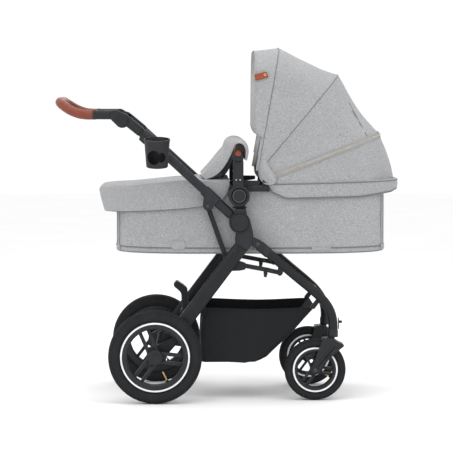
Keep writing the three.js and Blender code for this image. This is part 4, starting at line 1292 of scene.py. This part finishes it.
def make_flap():
    outer, inner = np.array(smooth(FLAP_OUTER, 6)), np.array(smooth(FLAP_INNER, 6))
    lined = np.array(smooth(FLAP_LINED, 6))
    reach = np.array(smooth(np.column_stack([FLAP_OUTER, FLAP_REACH]), 6))[:, 2]
    lining_reach = np.array(smooth(np.column_stack([FLAP_OUTER, LINING_REACH]), 6))[:, 2]
    share = 1 - folded_share(outer[:, 1], 702, 782)
    share[outer[:, 0] > 232] = 0
    below = np.sin(np.clip((780 - outer[:, 1]) / 80, 0, 1) * math.pi) * (outer[:, 0] < 230)

    def column(y):
        row = np.column_stack([outer[:, 0], np.full(len(outer), float(y)), outer[:, 1]])
        row[:, 2] += below * (ripple(row * (0.6, 1.4, 0.6), 50, 2.6, 4.4) - 5 * (1 - (y / 186) ** 2))
        return row

    def turned_down(v, side):
        """The turned side at v, from 0 at the top edge to 1 at its lower edge."""
        down, out = 1 - math.cos(v * math.pi / 2), math.sin(v * math.pi / 2)
        flat = outer + (inner - outer) * down
        return np.column_stack([flat[:, 0], side * (186 + (reach - 186) * out), flat[:, 1]])

    steps = np.linspace(1, 0, 10)[:-1]
    rows = [turned_down(v, -1) for v in steps]
    rows += [column(y) for y in np.linspace(-186, 186, 45)]
    rows += [turned_down(v, 1) for v in steps[::-1]]
    rows = np.array(rows)
    shares = np.tile(share, 2 * len(rows))
    flap = piece("apron_flap_cloth", cloth(rows[::-1], 2.4), GREY_FABRIC, None, "apron_flap",
                 shares)
    folding(flap, "bumper", "cot", *FLAP_FOLD)

    strips = []
    for side in (-1, 1):
        edge = turned_down(1, side) * (1, 0, 1) + np.column_stack(
            [np.zeros(len(reach)), side * (reach - 2), np.zeros(len(reach))])
        far = np.column_stack([lined[:, 0], side * lining_reach, lined[:, 1]])
        grid = np.array([edge + (far - edge) * t for t in (0, 0.35, 0.7, 1)])
        strips.append(cloth(grid if side < 0 else grid[::-1], 1.2))
    lining = piece("apron_flap_lining", joined(*strips), BASKET_CLOTH, None, (),
                   np.tile(share, 16))
    folding(lining, "bumper", "cot", *FLAP_FOLD)

    sewn = turned_down(0.86, 1) + (0, 0.4, 0)
    trim = joined(*[stitches(sewn[2:-2] * (1, side, 1), 4.4, 3, 0.45) for side in (-1, 1)])
    nearest = np.argmin(np.hypot(trim[0][:, 0, None] - sewn[:, 0], trim[0][:, 2, None] - sewn[:, 2]),
                        axis=1)
    threads = piece("apron_flap_stitching", trim, THREAD, None, (), share[nearest])
    folding(threads, "bumper", "cot", *FLAP_FOLD)
    buckle = joined(
        prism(rounded([(186, 698), (203, 697), (210, 706), (206, 711), (192, 711)], 3), 197, 207, 2),
        prism(rounded([(172, 689), (192, 697), (190, 702), (170, 693)], 1.5), 199, 205, 0.8))
    pair("apron_buckle", buckle, PLASTIC, "cot", None)


make_apron()
make_flap()


# ---------------------------------------------------------------- hood
def hood_section(foot, crown):
    """An upside-down U of (reach, y) points from the right foot over the crown to the left one."""
    points = [(foot, -HOOD_HALF)]
    points += [(crown - HOOD_CORNER - 14 + (HOOD_CORNER + 12) * math.sin(a),
                -HOOD_HALF + HOOD_CORNER * (1 - math.cos(a)) ** 1.06)
               for a in np.radians(np.linspace(0, 90, 13))]
    points += [(crown - 3 * (y / 110) ** 2, y) for y in (-80, -50, -20, 0, 20, 50, 80)]
    points += [(r, -y) for r, y in reversed(points[:14])]
    return along_line(points, 120)


def hood_point(angle, reach):
    """A point of the mid plane by its angle and distance from the hood's pivot."""
    turn = math.radians(angle)
    return (HOOD_PIVOT[0] + reach * math.cos(turn), 0, HOOD_PIVOT[1] + reach * math.sin(turn))


def row_between(foot, top, start=0.0, squeeze=0.0):
    """A row of the hood from a foot at its sides to its crown, both (x, z). It begins start along its
    sides, and squeeze draws its sides in towards the mid plane."""
    along = np.array(top, float) - foot
    length = np.linalg.norm(along)
    along /= length
    row = []
    for reach, y in hood_section(start, length):
        slack = squeeze * math.sin(math.pi * np.clip(reach / length, 0, 1))
        x, z = foot + along * reach
        row.append((x, y - np.sign(y) * slack * (abs(y) > 100), z))
    return np.array(row)


# Where the hood's rows meet the pivot, by their angle.
HOOD_FEET = ([-1.5, 12, ZIP_ANGLE, 30, MID_ANGLE, 83], [354, 350, 346, 336, 328, 321],
             [677, 683, 690, 703, 718, 716])


def hood_row(angle, crown, start=0.0, squeeze=0.0):
    foot = np.array([np.interp(angle, HOOD_FEET[0], HOOD_FEET[1]),
                     np.interp(angle, HOOD_FEET[0], HOOD_FEET[2])])
    top_x, _, top_z = hood_point(angle, crown)
    return row_between(foot, (top_x, top_z), start, squeeze)


def panel(bows, steps=9):
    """Rows between stated bows: (angle, crown, squeeze)."""
    bows = np.array(bows, float)
    angles = np.linspace(bows[0, 0], bows[-1, 0], steps)
    crowns = smooth_values(angles, bows[:, 0], bows[:, 1])
    squeezes = np.interp(angles, bows[:, 0], bows[:, 2])
    return np.array([hood_row(a, c, squeeze=s) for a, c, s in zip(angles, crowns, squeezes)])


def smooth_values(at, knots, values):
    """Values between knots along a smooth curve."""
    slopes = np.gradient(values, knots)
    k = np.clip(np.searchsorted(knots, at, side="right") - 1, 0, len(knots) - 2)
    span = knots[k + 1] - knots[k]
    t = (at - knots[k]) / span
    return ((2 * t**3 - 3 * t**2 + 1) * values[k] + (t**3 - 2 * t**2 + t) * span * slopes[k]
            + (3 * t**2 - 2 * t**3) * values[k + 1] + (t**3 - t**2) * span * slopes[k + 1])


def outside(path, distance):
    """A path over the hood moved out from the hood's inside."""
    path = np.asarray(path, float)
    middle = np.array([HOOD_PIVOT[0], 0, HOOD_PIVOT[1]])
    away = path - middle
    flat = np.abs(path[:, 1]) > HOOD_HALF - 4
    away[flat] = np.column_stack([np.zeros(flat.sum()), np.sign(path[flat, 1]), np.zeros(flat.sum())])
    return path + away / np.linalg.norm(away, axis=1, keepdims=True) * distance


def seam(path, radius=1.2, out=0.4):
    path = outside(path, out)
    return rod(path, radius, 8, HOOD_UP)


def make_hood():
    front = panel([(MID_ANGLE, 394, 0), (59.3, 382, 3.5), (66, 379.5, 4.5), (73, 384, 3.5),
                   (FRONT_ANGLE, 402, 0)], 19)
    middle = panel([(ZIP_ANGLE, 390, 0), (25, 376, 3.5), (31, 367, 5), (42.4, 371, 4),
                    (MID_ANGLE, 394, 0)], 21)
    ahead = np.array([-0.985, 0, 0.17])
    for rows, seed in ((front, 1.1), (middle, 6.3)):
        free = np.sin(np.linspace(0, 1, len(rows)) * math.pi)[:, None]
        lift = ripple(rows * (1, 0.8, 1), 85, 5.0, seed).reshape(rows.shape[:2]) * free
        sides = np.abs(rows[:, :, 1]) > 110
        rows[:, :, 1] += np.where(sides, np.sign(rows[:, :, 1]) * np.minimum(lift, 2.5), 0)
        rows[:, :, 2] += np.where(sides, 0, lift * 0.7)

    columns = front.shape[1]
    tucked = np.where(front[-1][:, 2:] > 817, -4.2, 0.0)
    facing = [outside(front[-1] + ahead * reach, tucked) for reach in (4, 8.5)]
    for name, rows, lower, upper, node_name, ends in (
            ("front", front, "hood_mid_frame", "hood_front_frame", "hood_front",
             (MID_ANGLE, FRONT_ANGLE)),
            ("mid", middle, "cot", "hood_mid_frame", "hood_mid", (ZIP_ANGLE, MID_ANGLE))):
        share = np.repeat(np.linspace(0, 1, len(rows)), columns)
        if name == "front":
            rows = np.concatenate([rows, facing])
            share = np.concatenate([share, np.ones(2 * columns)])
        shape = cloth(rows, 3.0)
        made = piece(f"hood_{name}_panel", shape, GREY_FABRIC, None, node_name,
                     np.concatenate([share, share]), sharp=70, inside=LINING)
        folding(made, lower, upper, hood_point(ends[0], 300), hood_point(ends[1], 300))

    bow = hood_row(FRONT_ANGLE, 402)
    brim = row_between(np.array([309.0, 716.0]), (312, 1090))
    numbers = np.arange(columns)

    def visor_row(t):
        """A row of the visor between the bow, t = 0, and the brim, t = 1, above its lower edge."""
        whole = bow + (brim - bow) * t
        lowest = np.interp(t, [0, 0.2, 0.5, 0.75, 0.92, 1], [819, 821, 825, 832, 842, 853])
        first = np.interp(lowest, whole[:40, 2], numbers[:40])
        at = np.linspace(first, columns - 1 - first, 110)
        return np.column_stack([np.interp(at, numbers, whole[:, k]) for k in range(3)])

    rows = np.array([visor_row(t) for t in (0, 0.15, 0.3, 0.45, 0.6, 0.72, 0.82, 0.9, 0.96, 1)])
    visor = piece("hood_visor", cloth(rows, 3.4), GREY_FABRIC, "hood_front_frame", (),
                  sharp=70, inside=LINING)
    first = int(np.argmax(bow[:40, 2] > 815))
    clear = int(np.argmax(bow[:40, 2] > 757))
    low_edge = (bow + ahead * 8.5)[clear:first:3]
    rim_path = np.concatenate([low_edge, rows[2:, 0], rows[-1, 1:-1], rows[:1:-1, -1],
                               low_edge[::-1] * (1, -1, 1)])
    piece("hood_front_edge", seam(rim_path, 2.0, 0.0), GREY_FABRIC, "hood_front_frame", ())
    piece("hood_front_piping", seam(bow, 0.9, 0.4), PIPING, "hood_front_frame", ())
    piece("hood_mid_piping", seam(hood_row(MID_ANGLE, 394), 1.1, 0.4), PIPING, "hood_mid_frame", ())
    for name, angle, crown, narrowing, body in (("front", 82.0, 395, 0.965, "hood_front_frame"),
                                                ("mid", MID_ANGLE, 386, 0.925, "hood_mid_frame")):
        hoop = hood_row(angle, crown, 12)
        hoop[:, 1] *= narrowing
        piece(f"hood_bow_{name}", rod(hoop, 3.4, 12, HOOD_UP), LINING,
              body, ())

    rear = [hood_row(a, c, squeeze=s) for a, c, s in
            ((ZIP_ANGLE, 390, 0), (15.5, 392, 1.2), (12, 396, 1.8), (8, 401, 1.8), (4, 406.5, 1), (0, 411, 0),
             (-1.5, 412.5, 0))]
    skirt_path = [(354, -APRON_HALF)] + [(x, -APRON_HALF) for x in (400, 500, 600, 690)]
    skirt_path += [(698 + 60 * math.sin(a), -APRON_HALF + 60 - 60 * math.cos(a))
                   for a in np.radians(np.linspace(8, 90, 10))]
    skirt_path += [(758, 0)] + [(x, -y) for x, y in reversed(skirt_path)]
    skirt_path = along_line(skirt_path, columns)
    low = np.interp(skirt_path[:, 0], [354, 366, 408, 500, 635, 736, 750, 758],
                    [664, 649, 630, 632, 636, 652, 658, 662])
    high = np.interp(skirt_path[:, 0], [354, 500, 635, 733, 758], [675, 678, 682, 687, 689])
    rows = list(rear)
    rows.append(np.column_stack([skirt_path * (0.999, 0.985), high + 2.0]))
    rows.append(np.column_stack([skirt_path, high - 1.5]))
    for drop in (0.15, 0.35, 0.6, 0.8, 0.95, 1.0):
        row = np.column_stack([skirt_path, high + (low - high) * drop])
        fold = ripple(row * (2.0, 2.0, 0.4), 60, 3.4, 2.9) * drop
        row[:, 1] -= np.sign(row[:, 1]) * (np.abs(row[:, 1]) > 130) * (np.maximum(fold, 0) + drop)
        row[:, 0] += (row[:, 0] > 740) * (3.5 * math.sin(drop * math.pi) - 2)
        rows.append(row)
    grid = np.array(rows)
    made = piece("hood_rear_panel", cloth(grid[::-1], 3.2), GREY_FABRIC, "cot", "hood_rear",
                 sharp=70, inside=LINING)
    hem = grid[-2]
    trim = joined(seam(grid[8], 1.7, 0.4), sweep(grid[-1], [oval(3.4, 5.0, 10)] * columns, (0, 0, 1)))
    piece("hood_skirt_piping", trim, PIPING, "cot", ())
    piece("hood_skirt_stitching", stitches(outside(hem, 0.8), 4.4, 3, 0.45), THREAD, "cot", ())

    base = hood_row(19.2, 389.6, 8)
    upward = np.array([-math.sin(math.radians(21)), 0, math.cos(math.radians(21))])
    tape_rows = np.array([outside(base + upward * w, 1.6) for w in (8.5, 4, 0, -4, -8.5)])
    tape = piece("hood_zip_tape", cloth(tape_rows[::-1], 1.2), ZIP_TAPE, "cot", ())
    teeth = outside(base[2:-2], 2.6)
    ridge = [circle(1.5 + 0.5 * (k % 2), 8) for k in range(360)]
    piece("hood_zip_coil", sweep(along_line(teeth, 360), ridge, HOOD_UP), ZIP_TEETH, "cot", ())
    lines = [stitches(outside(base + upward * w, 2.0), 4.0, 3.0, 0.5) for w in (6.4, -6.4)]
    piece("hood_zip_stitching", joined(*lines), THREAD, "cot", ())
    slider = joined(prism(rounded([(357, 691), (367, 695), (364, 704), (354, 700)], 2), 202, 207, 1.2),
                    prism(rounded([(364, 695), (382, 702), (380, 707), (362, 700)], 2), 205, 207.4,
                          0.8))
    pair("hood_zip_slider", slider, ZIP_TEETH, "cot", None)

    patch_line = along_line(smooth([(330, 752), (321, 722), (324, 693), (345, 674), (372, 677),
                                    (377, 697), (358, 724), (341, 752)], 8, closed=True), 72)
    middle_point = np.array([346.0, 706.0])
    rings = []
    for share in (1.0, 0.95, 0.86, 0.72, 0.5, 0.25, 0.05):
        flat = middle_point + (patch_line - middle_point) * share
        bulge = HOOD_HALF + 0.8 + 9.6 * math.cos(share * math.pi / 2) ** 0.5
        low = np.clip((700 - flat[:, 1]) / 26, 0, 1) * 8 * share
        rings.append(np.column_stack([flat[:, 0], np.maximum(bulge, HOOD_HALF + 0.8 + low),
                                      flat[:, 1]]))
    patch = bag(rings, 1.8)
    pair("hood_pivot_patch", patch, GREY_FABRIC, "cot", None)

    left = middle.reshape(-1, 3)
    left = left[left[:, 1] > 0]
    vent = []
    for t in np.linspace(0, 1, 24):
        x, z = 604 + 56 * t, 928 - 105 * t
        nearest = left[np.argmin(np.hypot(left[:, 0] - x, left[:, 2] - z))]
        vent.append((x, nearest[1], z))
    trim = seam(vent, 1.3, 0.2)
    both = joined(trim, mirrored(trim))
    angle = np.degrees(np.arctan2(both[0][:, 2] - HOOD_PIVOT[1], both[0][:, 0] - HOOD_PIVOT[0]))
    made = piece("hood_vent_seam", both, PIPING, None, (),
                 np.clip((angle - ZIP_ANGLE) / (MID_ANGLE - ZIP_ANGLE), 0, 1))
    folding(made, "cot", "hood_mid_frame", hood_point(ZIP_ANGLE, 300),
            hood_point(MID_ANGLE, 300))

    tab = prism(rounded([(307, 1014), (346, 1024), (352, 1006), (312, 995)], 3), -205.4, -202.6, 0.9)
    hole = lathe([(2.2, 0), (2.2, 1.0), (3.2, 1.4), (4.2, 1.0), (4.4, 0), (2.2, 0)],
                 (341.5, -205.3, 1014), (0, -1, 0), 24)
    piece("hood_leather_tab", tab, TAN_LEATHER, "hood_front_frame", ())
    piece("hood_tab_eyelet", hole, BRASS, "hood_front_frame", ())
    border = [(x, -205.6, z) for x, z in rounded([(310, 1012), (344, 1021), (349, 1007), (314, 998)], 3)]
    piece("hood_tab_stitching", stitches(border + border[:1], 3.2, 2.2, 0.35), LEATHER_THREAD,
          "hood_front_frame", ())


make_hood()


# ---------------------------------------------------------------- cot hubs and bumper bar
def make_cot_hubs():
    shell = joined(
        disc(COT_PIVOT, HUB_RADIUS, 213, 234.7, 2.5),
        disc(COT_PIVOT, 16, TUB["half"] + 0.3, 216, 1),
        prism(rounded([(246, 614, 3), (246, 606, 2), (240, 606, 2), (240, 601.6, 2), (284, 601.6, 2),
                       (284, 606, 2), (279, 606, 2), (279, 614, 3)]), 213, 234.7, 1.5),
        prism(rounded([(268, 652, 3), (356, 652, 3), (356, 668, 3), (268, 668, 3)]), 206.3, 216.3, 3),
        prism(rounded([(270, 666, 2), (325, 674, 3), (325, 686, 3), (270, 687, 3)]), 207, 214.5, 1.5),
        prism(rounded([(288, 677, 2), (316, 678, 2), (316, 682, 2), (288, 682, 2)]), 213.5, 215.6, 0.8),
        prism(rounded([(330, 656, 2), (354, 656, 2), (350, 700, 8), (336, 702, 8)]), 203, 206.8, 1))
    pair("cot_hub_disc", shell, PLASTIC, "cot", "cot_hub")
    pair("cot_release_button", push_button(COT_PIVOT, 20, 240, 258), PLASTIC, "cot_button_{}",
         "cot_button")
    bright = lathe([(18.4, 257.0), (18.6, 258.2), (19.6, 258.2), (20.0, 257.0), (18.4, 257.0)],
                   (COT_PIVOT[0], 0, COT_PIVOT[1]))
    pair("cot_button_ring", bright, SATIN_STEEL, "cot_button_{}", None)


def make_bumper():
    x, z = COT_PIVOT[0] - 3, COT_PIVOT[1]
    low, high = 235, 252
    ring = lathe([(20.4, low), (33, low), (33, high - 3), (32, high - 0.8), (30, high), (25, high),
                  (23.5, high - 1.6), (20.4, high - 2.2), (20.4, low)], (COT_PIVOT[0], 0, z))
    arm = prism(rounded([(x - 16.5, 668, 3), (x + 16.5, 668, 3), (x + 16.5, 745, 4),
                         (x + 15, 753, 6), (x - 15, 753, 6), (x - 16.5, 745, 4)]), low, high, 3)
    corners = [(x - 11, 684), (x - 11, 738), (x + 11, 738), (x + 11, 684)]
    frame_bars = [bar(corners[i], corners[j], 1.6, high - 1, high + 0.9, 0.5)
                  for i, j in ((0, 1), (3, 2), (1, 2), (0, 3))]
    cap = joined(disc((x, 758), 17, 234, 252, 3), disc((x, 758), 12, 250, 253.4, 1.5))
    pair("bumper_side_arm", joined(ring, arm, cap, *frame_bars), PLASTIC, "bumper", None)
    pair("bumper_arm_screws", joined(screw(x - 6, high, 690, 2.6, 1), screw(x + 6, high, 690, 2.6, 1),
                                     screw(x - 6, low, 700, 2.6, -1)), STEEL, "bumper", None)
    half = [(x, 243, 764), (x, 243, 774), (x, 236, 791), (x, 216, 799), (x, 190, 799)]
    path = smooth(half + [(x, 0, 799)] + [(a, -b, c) for a, b, c in reversed(half)], 8)
    sections = [circle(12.5, 24)] * len(path)
    piece("bumper_leather_bar", sweep(path, sections, (1, 0, 0)), BROWN_LEATHER, "bumper",
          "bumper_bar")
    straight = [(x - 8.6, y, 799 - 9.1) for y in np.linspace(-205, 205, 100)]
    piece("bumper_bar_seam", stitches(straight, 6, 4.2, 0.6), LEATHER_THREAD, "bumper", ())


make_cot_hubs()
make_bumper()
